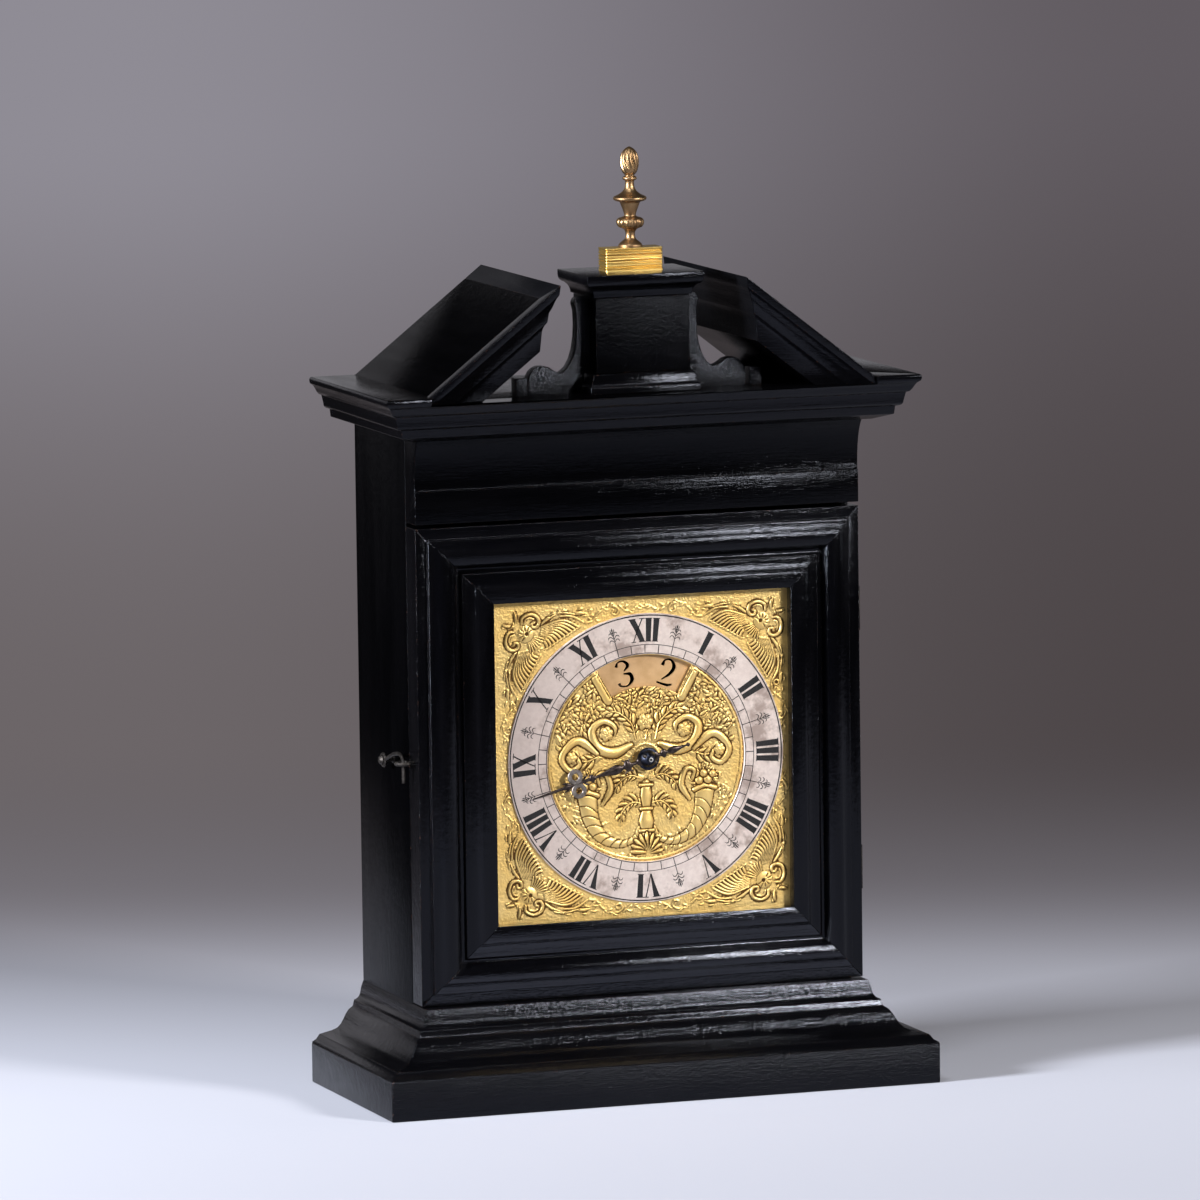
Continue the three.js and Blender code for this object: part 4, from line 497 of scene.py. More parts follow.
class Relief:
    """Chasing on the dial plate: heights in millimetres on a fine grid, raised by domed strokes."""

    STEP = 0.25

    def __init__(self, reach):
        self.reach = reach
        self.count = int(2 * reach / self.STEP) + 1
        self.height = np.zeros((self.count, self.count))

    def near(self, x, z, r):
        """The grid round a place, and how far its columns and rows lie from there; nothing beyond the grid."""
        (i0, i1), (k0, k1) = [[int((c - r + self.reach) / self.STEP), int((c + r + self.reach) / self.STEP) + 2]
                              for c in (x, z)]
        if i0 < 0 or k0 < 0 or i1 >= self.count or k1 >= self.count:
            i1, k1 = i0, k0
        gx = np.arange(i0, i1) * self.STEP - self.reach - x
        gz = np.arange(k0, k1) * self.STEP - self.reach - z
        return self.height[k0:k1, i0:i1], gx[None, :], gz[:, None]

    def dab(self, x, z, radius, height, dome=0.5):
        """A domed spot that leaves whatever stands higher."""
        r = max(radius, 0.3)
        part, gx, gz = self.near(x, z, r)
        np.maximum(part, height * np.clip(1 - (gx ** 2 + gz ** 2) / (r * r), 0, None) ** dome, out=part)

    def sink(self, x, z, radius, width):
        """Lower everything under a stroke and close beside it, so that its outline stays sharp."""
        part, gx, gz = self.near(x, z, radius + width)
        part *= np.clip((np.hypot(gx, gz) - radius) / width, 0.0, 1.0)

    def stroke(self, points, radii, height, dome=0.5, sunk=0.65):
        """A tapering raised line with a sunk outline; radii are spread evenly over the path."""
        points, pitch = np.asarray(points), 0.3
        lengths = lengths_to(points)
        count = max(int(lengths[-1] / pitch), 2)
        xs, zs = (np.interp(np.linspace(0, lengths[-1], count), lengths, column) for column in points.T)
        rs = spread(radii, np.linspace(0, 1, count))
        for x, z, r in zip(xs, zs, rs):
            self.sink(x, z, r, sunk)
        for x, z, r in zip(xs, zs, rs):
            self.dab(x, z, r, height * (0.4 + 0.6 * r / max(radii)), dome)

    def curve(self, points, count, *look):
        self.stroke(smooth_path(points, count), *look)

    def groove(self, points, width, depth):
        points = np.asarray(points)
        lengths = lengths_to(points)
        n = max(int(width / self.STEP), 1)
        g = np.arange(-n, n + 1) * self.STEP
        share = np.clip(1 - np.hypot(g[None, :], g[:, None]) / width, 0, None)
        for s in np.arange(0, lengths[-1], self.STEP):
            i, k = (int((np.interp(s, lengths, column) + self.reach) / self.STEP) for column in points.T)
            part = self.height[k - n:k + n + 1, i - n:i + n + 1]
            part -= np.minimum(depth * share, part * share)

    def lobe(self, start, heading, length, curl, width, height):
        """One rounded lobe that bends as it goes."""
        t = np.linspace(0, 1, 12)
        angle = heading + curl * t ** 1.3
        steps = np.stack([np.cos(angle), np.sin(angle)], 1) * length / (len(t) - 1)
        radii = [width * share for share in (0.45, 0.8, 1, 0.95, 0.55)]
        self.stroke(np.cumsum(steps, 0) + np.array(start), radii, height, 1.0)

    def broad_leaf(self, points, wide, height, lobes=5):
        """An acanthus leaf: lobes along both edges and a raised rib."""
        path = smooth_path(points, 60)
        self.stroke(path, [wide * share for share in (0.35, 0.62, 0.5, 0.12)], height * 0.7, 0.9)
        for n in range(lobes):
            i = int(8 + 44 * n / lobes)
            heading = math.atan2(*(path[i + 1] - path[i])[::-1])
            size = wide * (1.15 - 0.6 * n / lobes)
            for side in (1, -1):
                self.lobe(path[i], heading + side * 0.85, size, -side * 0.7, wide * 0.2, height * 0.9)
        self.stroke(path, [0.55, 0.5, 0.3], height, 0.6, 0.3)

    def horn(self, points, radii, height):
        """A horn of plenty: a tapering body with grooves wound about it."""
        path = smooth_path(points, 120)
        last = len(path) - 1
        self.stroke(path, radii, height, 0.5, 0.7)
        for share in np.arange(0.12, 0.96, 0.085):
            i = int(share * last)
            ahead = path[min(i + 1, last)] - path[max(i - 1, 0)]
            ahead = ahead / np.hypot(*ahead)
            across = np.array([-ahead[1], ahead[0]])
            r = spread(radii, share)
            self.groove([path[i] + across * r * s + ahead * r * (0.55 * s + 0.4 * (1 - s * s))
                         for s in np.linspace(-0.95, 0.95, 9)], 0.45, 0.45)

    def foliage(self, radii, degrees, count, seed, leaf, height):
        """Small pointed leaves in a thick mass between two radii and two angles, right and left of the middle."""
        rng = random.Random(seed)
        spots = []
        for _ in range(count):
            r = math.sqrt(rng.uniform(radii[0] ** 2, radii[1] ** 2))
            a = math.radians(rng.uniform(*degrees)) * rng.choice((-1, 1))
            spots.append((r * math.sin(a), r * math.cos(a)))
        for spot in spots:
            a = rng.uniform(0, TAU)
            tip = polar(spot, leaf * rng.uniform(0.7, 1.25), a)
            self.stroke([spot, tip], [0.3, leaf * 0.25, leaf * 0.2, 0.25], height * rng.uniform(0.6, 1.0), 0.8, 0.5)

    def flower(self, centre, radius, height, turn=0.0):
        """Two rows of six petals round an eye."""
        self.sink(*centre, radius, 0.5)
        for share, shift in ((1.0, 0), (0.6, 0.5)):
            for k in range(6):
                place = polar(centre, radius * share * 0.55, turn + TAU * (k + shift) / 6)
                self.dab(*place, radius * share * 0.46, height * (1.15 - 0.25 * share), 0.9)
        self.dab(*centre, radius * 0.26, height * 1.25)

    def punch(self, centre, radius):
        """A hole through the plate."""
        i, k = (int((c + self.reach) / self.STEP) for c in centre)
        n, depth = 8, 0.9
        g = np.arange(-n, n + 1) * self.STEP
        self.height[k - n:k + n + 1, i - n:i + n + 1][np.hypot(g[None, :], g[:, None]) < radius] = -depth

    def stipple(self, count, seed, size, height):
        """Punch marks crowd the ground between the ornament."""
        rng = random.Random(seed)
        raised, self.height = self.height, np.zeros_like(self.height)
        for _ in range(count):
            x, z = rng.uniform(-self.reach + 1, self.reach - 1), rng.uniform(-self.reach + 1, self.reach - 1)
            self.dab(x, z, size * rng.uniform(0.7, 1.3), height * rng.uniform(0.5, 1.0))
        self.height = np.maximum(raised, self.height)

    def cavity(self):
        """How deep each place lies below its surroundings, from 0 to 1."""
        soft, shallow, deep = self.height, 0.02, 0.24
        for axis in (0, 1) * 3:
            soft = sum(np.roll(soft, s, axis) for s in range(-3, 4)) / 7
        return np.clip((soft - self.height - shallow) / deep, 0, 1)

    def sample(self, x, z, values):
        """Values on the grid, read between its points."""
        u, w = (np.clip((c + self.reach) / self.STEP, 0, self.count - 1.001) for c in (x, z))
        i, k = u.astype(int), w.astype(int)
        fu, fw = u - i, w - k
        return ((values[k, i] * (1 - fu) + values[k, i + 1] * fu) * (1 - fw)
                + (values[k + 1, i] * (1 - fu) + values[k + 1, i + 1] * fu) * fw)


def chase_corner(relief):
    """One quarter of the spandrels, laid out from the plate's corner and mirrored to the other corners."""
    quarter = Relief(relief.reach)
    edge_x, edge_z = 91.8, 94.7
    for flip in (False, True):
        ahead = -math.pi / 2 if flip else math.pi
        side = -1 if flip else 1

        def at(*numbers):
            """Pairs of numbers: how far along the edge from the corner, and how far in from the edge."""
            return [(edge_x - b, edge_z - a) if flip else (edge_x - a, edge_z - b) for a, b in pairs(*numbers)]

        def lobe(a, b, turn, length, curl, width, height):
            quarter.lobe(at(a, b)[0], ahead + side * turn, length, side * curl, width, height)

        quarter.curve(at(56, 13, 60, 12, 63.4, 8, 68, 4.6, 73, 4.2, 76.2, 6.4, 75, 9.2, 72.2, 8.6, 72.8, 6.6), 90,
                      [0.75, 0.6, 0.55, 0.6, 0.5], 0.6)
        quarter.curve(at(76.8, 4.4, 81, 7.4, 85.5, 6.9, 88.5, 4.7, 91.5, 5.6), 50, [0.4, 0.6, 0.5, 0.45], 0.55)
        for a, b, turn in ((61.5, 11, -0.9), (65, 6.2, 0.9), (66.8, 5, -0.8), (70, 4.4, 0.9), (79, 6, 0.9),
                           (82.5, 7.2, -0.9), (86, 6.5, 0.8), (60, 12, 0.8), (87.5, 5.2, -0.8)):
            lobe(a, b, -turn, 3.1, turn, 0.55, 0.55)
        quarter.curve(at(47, 8, 52, 7, 56, 8.4, 59, 11.4), 40, [0.9, 1.2, 0.9, 0.4], 0.7, 0.8)
        for a, b in pairs(53, 9.5, 56.5, 6.4, 50.5, 5.4, 57.6, 9.6):
            lobe(a, b, -0.5, 3.2, 0.8, 0.6, 0.7)
        for share in np.linspace(0, 1, 10):
            root = (26.6 + 2 * share, 23 - 8.8 * share)
            bend = (30 + 11 * share, 22.6 - 11.8 * share)
            tip = (32 + 19.2 * share, 26.4 - 11.2 * share)
            hook = (tip[0] - 1.6, tip[1] + 1.3)
            quarter.curve(at(*root, *bend, *tip, *hook), 40, [0.35, 0.7, 0.8, 0.7, 0.4], 0.8, 0.6, 0.4)
        quarter.curve(at(40, 8.4, 47, 8.6, 54.6, 12.8), 40, [0.5, 0.8, 0.7, 0.4], 0.8, 0.6, 0.4)
        for share in (0, 0.5, 1):
            lobe(22.5 + 2 * share, 22 + 2 * share, 0.75, 7 - 2 * share, 0.8, 0.7, 0.7)
        quarter.curve(at(28.2, 12.4, 33.6, 8.6, 39.6, 6, 45.5, 7, 49, 7.8), 60, [0.6, 0.95, 0.9, 0.7, 0.4], 0.9)
        lobe(33, 8, -0.7, 4.6, 0.9, 0.6, 0.7)
        lobe(40, 5.8, -0.45, 4, 0.8, 0.5, 0.6)
        for a, b, turn, long in ((14.2, 9.4, 2.3, 6), (12.6, 10.8, 2.62, 7), (11.6, 12.4, 3, 5.5)):
            lobe(a, b, turn, long * 1.15, 0.5, 1.1, 1)
        quarter.curve(at(16.2, 11.6, 16.6, 8.2, 21, 6.2, 25.4, 7.6, 27, 11, 25.6, 13.8, 23, 13.8, 22.6, 11.8,
                         24, 11.2), 90, [0.7, 1, 1.05, 1, 0.85, 0.7], 1.05)
        quarter.curve(at(18.2, 11.4, 18.8, 9.2, 21.4, 8.4, 23.6, 9.2), 30, [0.4, 0.55, 0.4], 0.6)
    shell = (73.2, 76.8)
    for k in range(7):
        a = math.radians(198 + k * 9)
        quarter.lobe(polar(shell, 4.6, a), a, 6.5, (k - 3) * 0.08, 0.6, 0.7)
    quarter.dab(*shell, 4.9, 0.9, 0.45)
    for k in range(7):
        a = math.radians(45 + (k - 3) * 34)
        quarter.groove([polar(shell, 1.9, a), polar(shell, 4.6, a)], 0.5, 0.35)
    quarter.punch((72.6, 77.2), 1.2)
    middle = quarter.count // 2
    part = quarter.height[middle:, middle:]
    half = np.vstack([part[:0:-1], part])
    relief.height = np.hstack([half[:, :0:-1], half])
    stud = (82, 40)
    relief.sink(*stud, 2, 0.5)
    relief.dab(*stud, 2, 0.8, 0.3)
    relief.punch(stud, 1.1)


def chase_centre(relief):
    """Two horns of plenty, scrolls, flowers and a leafy border under the opening, alike on both sides."""
    relief.foliage((28, 40.6), (0, 46), 190, 11, 4.4, 1.2)
    relief.foliage((37, 58), (35, 72), 300, 12, 4.4, 1.15)
    relief.foliage((46, 58), (108, 146), 110, 13, 3.6, 0.8)
    relief.foliage((50, 58), (146, 180), 60, 14, 3.4, 0.8)
    for hand in (1, -1):
        def at(*numbers):
            return [(hand * x, z) for x, z in pairs(*numbers)]

        relief.stroke(at(22.8, 35, 31, 49.4), [2.7, 2.5], 1.5, 0.5, 0.8)
        relief.groove(at(21.6, 36.2, 29.6, 50.2), 0.5, 0.5)
        relief.broad_leaf(at(6, 11, 9, 21, 18, 28, 27, 27), 6.4, 1.2)
        relief.broad_leaf(at(28, 3, 38, 0, 49, 6, 55, 16), 6.6, 1.2)
        relief.curve(at(9, 8, 20, 4, 30, 8, 33, 18, 26, 23, 19, 19, 21, 13, 25, 14), 120,
                     [1.5, 3.2, 2.9, 2.4, 1.8, 1.4, 1], 1.7, 0.5, 0.8)
        relief.flower(at(24, 15.5)[0], 4.6, 1.3, 0.3)
        relief.curve(at(30, 4, 40, 12, 47, 10, 52, 2, 47, -5, 41, -2, 43, 3), 100,
                     [1.3, 2.5, 2.2, 1.9, 1.5, 1], 1.5, 0.5, 0.8)
        relief.flower(at(46, 2.5)[0], 3.8, 1)
        start = at(36, -17)[0]
        for degrees, long in ((150, 9), (118, 11), (92, 12), (66, 12), (40, 10), (16, 9)):
            a = math.radians(degrees if hand > 0 else 180 - degrees)
            relief.broad_leaf([start, polar(start, long * 0.55, a + hand * 0.2), polar(start, long, a)], 4.2, 1, 3)
        relief.horn(at(4.5, -41, 8, -47.5, 17, -50, 28, -45, 34.5, -34, 36.5, -21),
                    [1, 1.7, 2.7, 3.9, 5, 5.8], 1.6)
        relief.curve(at(30, -20.6, 36.4, -18.2, 43, -20), 30, [1.3, 1.5, 1.3], 1.7, 0.4)
        for x, z, r in ((33, -15.2, 2.5), (38.4, -15, 2.7), (35.8, -11.2, 2.4), (41.4, -11.8, 2.2), (31, -11.4, 1.9)):
            relief.sink(hand * x, z, r, 0.5)
            relief.dab(hand * x, z, r, 1.7, 0.5)
        relief.broad_leaf(at(3, -12, 10, -10, 17, -14, 20, -21), 6, 1.2)
        relief.broad_leaf(at(2.6, -27, 9, -26, 15, -31, 16, -39), 6, 1.2)
        relief.curve(at(27, -26, 22, -17, 25, -8, 30, -9, 29, -14), 60, [1, 1.9, 1.7, 1.2, 0.9], 1.3, 0.5, 0.7)
    relief.stroke(pairs(0, -45, 0, -37, 0, -26, 0, -15), [2.6, 4.4, 2.2, 3.4, 2.2], 1.7, 0.5, 0.8)
    for z, wide in ((-16, 3.6), (-30, 3.2), (-43, 4.2)):
        relief.stroke([(-wide, z), (wide, z)], [1, 1], 1.4, 0.4, 0.5)
    for k in range(-4, 5):
        relief.lobe((0, -56), math.radians(90 + k * 20), 11 - abs(k) * 0.6, k * 0.05, 1.5, 1.4)
    relief.flower((0, 21), 5.2, 1.25)
    relief.broad_leaf(pairs(0, 11, 0.6, 14, 0, 17), 2.6, 0.8, 3)
    rim_start = math.radians(31)
    relief.stroke(dial_arc(59.7, 300, rim_start, TAU - rim_start), [0.6, 0.6], 0.6, 0.5, 0.4)
    hub = 8.2
    relief.sink(0, 0, hub, 0.6)
    relief.stroke(dial_arc(hub, 80), [0.5, 0.5], 0.4)


def relief_mesh(xs, zs, keep, relief):
    """A closed piece: the relief in front, its flat underside sunk a little into the plate."""
    ground, rooted = PLATE_FRONT - 0.05, PLATE_FRONT + 0.4
    height = relief.sample(xs, zs, relief.height)
    top = np.stack([xs + DIAL_X, ground - height, zs + DIAL_Z], -1).reshape(-1, 3)
    under = np.stack([xs + DIAL_X, np.full_like(xs, rooted), zs + DIAL_Z], -1).reshape(-1, 3)
    count = xs.size
    a = np.arange(count).reshape(xs.shape)
    quads = np.stack([a[:-1, :-1], a[1:, :-1], a[1:, 1:], a[:-1, 1:]], -1)[keep]
    edges = np.concatenate([quads[:, [i, (i + 1) % 4]] for i in range(4)])
    _, first, times = np.unique(np.sort(edges, 1), axis=0, return_index=True, return_counts=True)
    rim = edges[first[times == 1]]
    walls = np.stack([rim[:, 1], rim[:, 0], rim[:, 0] + count, rim[:, 1] + count], -1)
    faces = np.concatenate([quads, quads[:, ::-1] + count, walls])
    used, index = np.unique(faces, return_inverse=True)
    points = np.concatenate([top, under])[used]
    mesh = bpy.data.meshes.new("relief")
    mesh.vertices.add(len(points))
    mesh.vertices.foreach_set("co", (points * MM).ravel())
    mesh.loops.add(faces.size)
    mesh.polygons.add(len(faces))
    mesh.loops.foreach_set("vertex_index", index.ravel())
    mesh.polygons.foreach_set("loop_start", np.arange(len(faces)) * 4)
    mesh.update(calc_edges=True)
    marks = mesh.attributes.new("cavity", "FLOAT", "POINT")
    sunk = np.concatenate([relief.sample(xs, zs, relief.cavity()).ravel(), np.zeros(count)])[used]
    marks.data.foreach_set("value", sunk.astype(np.float32))
    return mesh


def make_dial_corners():
    corners = Relief(101)
    chase_corner(corners)
    corners.stipple(36000, 3, 0.5, 0.13)
    margin, pitch = 0.2, 0.34
    grid = []
    for low, high in ((plate_low.x / MM - DIAL_X, plate_high.x / MM - DIAL_X),
                      (plate_low.z / MM - DIAL_Z, plate_high.z / MM - DIAL_Z)):
        low, high = low + margin, high - margin
        grid.append(np.linspace(low, high, int((high - low) / pitch)))
    xs, zs = np.meshgrid(*grid)
    keep = np.hypot((xs[:-1, :-1] + xs[1:, 1:]) / 2, (zs[:-1, :-1] + zs[1:, 1:]) / 2) > RING_OUTER - 2
    add_piece("dial_corners", relief_mesh(xs, zs, keep, corners), chased_gilt, "front_door", smooth=180)


def make_dial_centre():
    centre = Relief(66)
    chase_centre(centre)
    centre.stipple(18000, 5, 0.5, 0.16)
    hole = 3.4
    radii = np.concatenate([np.linspace(hole, APERTURE_INNER, 88),
                            np.linspace(APERTURE_INNER, APERTURE_OUTER, 43)[1:],
                            [APERTURE_OUTER + 0.5, APERTURE_OUTER + 1.2]])
    angles, around = np.meshgrid(np.linspace(0, TAU, 721), radii)
    middle_angle = np.abs((angles[:-1, :-1] + angles[:-1, 1:]) / 2)
    middle_angle = np.minimum(middle_angle, TAU - middle_angle)
    middle_radius = (around[:-1, :-1] + around[1:, :-1]) / 2
    inside = (middle_angle < APERTURE_HALF) & (middle_radius > APERTURE_INNER) & (middle_radius < APERTURE_OUTER)
    mesh = relief_mesh(around * np.sin(angles), around * np.cos(angles), ~inside, centre)
    with editing(mesh) as work:
        bmesh.ops.remove_doubles(work, verts=work.verts, dist=1e-6)
    add_piece("dial_centre", mesh, chased_gilt, "front_door", smooth=180)


# Chapter ring: a turned ring with its engraving filled with wax

WAX_FRONT, WAX_BACK = RING_FRONT - 0.035, RING_FRONT + 0.2
LINE_RADIUS = 66.9
NUMERAL_FOOT = 68.6
NUMERAL_TOP = 82.6
THICK = 3.4
THIN = 0.75
SERIF = 0.5
LETTER_WIDTH = {"I": 4.5, "V": 9.4, "X": 9.2}


def ring_strip(points):
    """A thin inlay whose outline is given as (angle in radians, radius)."""
    outline = [(DIAL_X + r * math.sin(a), DIAL_Z + r * math.cos(a)) for a, r in points]
    return slab(outline, WAX_FRONT, WAX_BACK)


def ring_circle(radius, width):
    inner, outer = radius - width / 2, radius + width / 2
    section = pairs(inner, WAX_BACK, outer, WAX_BACK, outer, WAX_FRONT, inner, WAX_FRONT)
    return turned_ring(section, 240)


def dense(outline):
    """Extra points on the long sides, so that they bend with the ring."""
    points, radius = [], 75
    for (a0, r0), (a1, r1) in zip(outline, outline[1:] + outline[:1]):
        n = 6 if abs(a1 - a0) * radius > 1 else 1
        points += [(a0 + (a1 - a0) * i / n, r0 + (r1 - r0) * i / n) for i in range(n)]
    return points


def letter_strokes(letter, left):
    """Outlines of one letter as (across, up) pairs in millimetres; up runs from the foot to the head."""
    high = NUMERAL_TOP - NUMERAL_FOOT
    head = high - SERIF
    right = left + LETTER_WIDTH[letter]

    def serif(centre, base, reach):
        low, top = (0, SERIF) if base else (head, high)
        return pairs(centre - reach, low, centre + reach, low, centre + reach, top, centre - reach, top)

    def slant(x0, x1, thick):
        half = thick / 2
        return pairs(x0 - half, SERIF, x0 + half, SERIF, x1 + half, head, x1 - half, head)

    if letter == "I":
        middle = (left + right) / 2
        return [serif(middle, True, 2.05), serif(middle, False, 2.05), slant(middle, middle, THICK - 0.1)]
    if letter == "V":
        foot, thick_top, thin_top = (left + right) / 2, left + 2.0, right - 1.3
        return [serif(thick_top, False, 2.3), serif(thin_top, False, 1.6),
                pairs(foot - 0.3, 0, foot + 0.5, 0, thick_top + THICK / 2, head, thick_top - THICK / 2, head),
                pairs(foot + 0.1, 0.2, foot + 0.55, 0.2, thin_top + THIN / 2, head, thin_top - THIN / 2, head)]
    return [serif(left + 1.9, False, 2.1), serif(right - 1.6, False, 1.6),
            serif(left + 1.6, True, 1.6), serif(right - 1.9, True, 2.1),
            slant(right - 1.9, left + 1.9, THICK), slant(left + 1.6, right - 1.6, THIN)]


def half_hour_mark(angle):
    """A small tree: a stem with three pairs of curved branches and a bud."""
    strokes = [ribbon([(0, 67.2), (0, 72), (0, 77.6)], [0.5, 0.4, 0.5])]
    for side in (1, -1):
        for foot, reach, rise, thick in ((71.8, 3.2, 0.2, 0.5), (73.6, 3.4, 0.9, 0.55), (75.4, 2.4, 1.5, 0.5)):
            out = side * reach
            strokes.append(ribbon([(side * 0.28, foot), (out * 0.45, foot + 1.2 + rise * 0.4),
                                   (out * 0.85, foot + 0.9 + rise * 0.6), (out, foot + rise - 0.5)],
                                  [0.3, thick, thick, 0.16]))
        strokes.append(ribbon([(side * 0.2, 76.9), (side * 1.0, 78.2), (side * 0.9, 79.6)], [0.3, 0.5, 0.2]))
    strokes.append(ribbon([(0, 77.4), (0, 78.8), (0, 80.3)], [0.3, 0.9, 0.15]))
    mean_radius = 72
    return [ring_strip([(angle + u / mean_radius, v) for u, v in stroke]) for stroke in strokes]


def make_chapter_ring():
    front, back, arris = RING_FRONT, PLATE_FRONT + 0.2, 0.25
    inner, outer = RING_INNER, RING_OUTER
    section = [(inner, back), (inner, front + arris), (inner + arris, front), (outer - arris, front),
               (outer, front + arris), (outer, back)]
    add_piece("chapter_ring_silvered", turned_ring(section, 300), ring_silver, "front_door", "chapter_ring")

    inlays = [ring_circle(inner + 0.7, 0.45), ring_circle(LINE_RADIUS, 0.4), ring_circle(outer - 1.2, 0.75)]
    low, high, half = inner + 0.8, LINE_RADIUS - 0.1, 0.24 / 64
    for quarter in range(48):
        a = TAU * quarter / 48
        inlays.append(ring_strip(pairs(a - half, low, a + half, low, a + half, high, a - half, high)))
    middle = (NUMERAL_FOOT + NUMERAL_TOP) / 2
    for hour, letters in enumerate("XII I II III IIII V VI VII VIII IX X XI".split()):
        left = -sum(LETTER_WIDTH[letter] for letter in letters) / 2
        for letter in letters:
            for outline in letter_strokes(letter, left):
                turned = [(TAU * hour / 12 + u / middle, NUMERAL_FOOT + v) for u, v in outline]
                inlays.append(ring_strip(dense(turned)))
            left += LETTER_WIDTH[letter]
    for half_hour in range(12):
        inlays += half_hour_mark(TAU * (half_hour + 0.5) / 12)
    add_piece("ring_engraving", merged(inlays), black_wax, "front_door")


# Numeral disc: copper, with the numerals cut through it in thick and thin strokes

# Each stroke is a path of pairs, in hundredths of the digit's width and height, and its widths along the path
DIGIT_STROKES = {
    "0": [((42, 98, 10, 80, 8, 50, 10, 20, 42, 2), (8, 22, 26, 22, 8)),
          ((58, 98, 90, 80, 92, 50, 90, 20, 58, 2), (8, 22, 26, 22, 8))],
    "1": [((55, 100, 55, 50, 55, 10), (24, 24, 24)), ((12, 78, 25, 84, 37, 93), (8, 14, 16)),
          ((25, 3, 55, 3, 85, 3), (7, 7, 7))],
    "2": [((16, 72, 24, 93, 55, 98, 80, 76, 66, 48, 30, 20), (24, 10, 12, 27, 20, 7)),
          ((8, 8, 40, 6, 70, 6, 93, 12), (10, 13, 17, 12))],
    "3": [((16, 80, 30, 96, 60, 95, 78, 76, 52, 59), (20, 9, 13, 24, 8)),
          ((46, 50, 80, 42, 84, 20, 55, 3, 20, 8, 12, 20), (8, 22, 27, 10, 10, 20))],
    "4": [((56, 98, 34, 65, 8, 34), (8, 8, 8)), ((10, 26, 30, 26, 56, 26), (10, 10, 10)),
          ((74, 98, 74, 50, 74, 2), (24, 24, 24))],
    "5": [((24, 92, 50, 94, 85, 96), (14, 17, 8)), ((18, 82, 20, 68, 22, 56), (8, 8, 8)),
          ((36, 56, 70, 56, 86, 30, 60, 5, 22, 6, 10, 20), (8, 18, 27, 11, 10, 20))],
    "6": [((84, 88, 55, 95, 20, 72, 10, 38, 28, 8, 52, 2), (18, 8, 17, 27, 20, 8)),
          ((62, 4, 90, 22, 82, 48, 50, 55, 34, 46), (8, 20, 22, 10, 6))],
    "7": [((10, 90, 45, 92, 88, 92), (12, 17, 12)), ((84, 80, 56, 45, 42, 2), (8, 18, 28))],
    "8": [((44, 97, 18, 84, 24, 64, 60, 46, 86, 26, 56, 3), (8, 14, 20, 24, 20, 8)),
          ((56, 97, 80, 86, 78, 70, 64, 62), (8, 16, 16, 8)), ((34, 44, 14, 32, 14, 14, 42, 3), (8, 14, 16, 8))],
}
DIGIT_STROKES["9"] = [([100 - c for c in path], widths) for path, widths in DIGIT_STROKES["6"]]


def make_numeral_disc():
    middle = (APERTURE_INNER + APERTURE_OUTER) / 2
    height, gap, hour_shown = 16, 0.9, 2.56
    holes = [[(DIAL_X + x, DIAL_Z + z) for x, z in dial_arc(2.7, 32, closed=True)]]
    for hour in range(1, 13):
        turn = math.radians(30 * (hour_shown - hour))
        digits = str(hour)
        width, thick = (11.6, 10.2) if len(digits) == 1 else (8.4, 8.0)
        left = -(len(digits) * width + (len(digits) - 1) * gap) / 2
        for digit in digits:
            for path, widths in DIGIT_STROKES[digit]:
                placed = []
                for u, v in ribbon([(u / 100 * width, v / 100 * height) for u, v in pairs(*path)],
                                   [w / 100 * thick for w in widths], 24):
                    x, z = left + u, middle - height / 2 + v
                    placed.append((DIAL_X + x * math.cos(turn) + z * math.sin(turn),
                                   DIAL_Z - x * math.sin(turn) + z * math.cos(turn)))
                holes.append(placed)
            left += width + gap
    outline = [(DIAL_X + x, DIAL_Z + z) for x, z in dial_arc((disc_high.x - disc_low.x) / 2 / MM, 180, closed=True)]
    mesh = slab(outline, disc_low.y / MM, disc_high.y / MM, holes)
    add_piece("numeral_disc_pierced", mesh, disc_copper, "hour_work", "numeral_disc")


# Hour hand: filed in the round, with a baluster, two loops, a needle and a ball on its tail

HAND_ANGLE = math.radians(254.5)
HAND_LENGTH = RING_INNER + 12.8
HAND_Y = (hand_low.y + hand_high.y) / 2 / MM
HAND_HALF_THICK = 1.3


def hand_point(across, along, y):
    cos, sin = math.cos(HAND_ANGLE), math.sin(HAND_ANGLE)
    return (DIAL_X + across * cos + along * sin, y, DIAL_Z - across * sin + along * cos)


def rounded_bar(stations, count=16):
    """A bar along the hand; each station is (along, across centre, half width, half thickness)."""
    return loft([[hand_point(centre + wide * math.cos(TAU * i / count), along,
                             HAND_Y + thick * math.sin(TAU * i / count)) for i in range(count)]
                 for along, centre, wide, thick in stations])


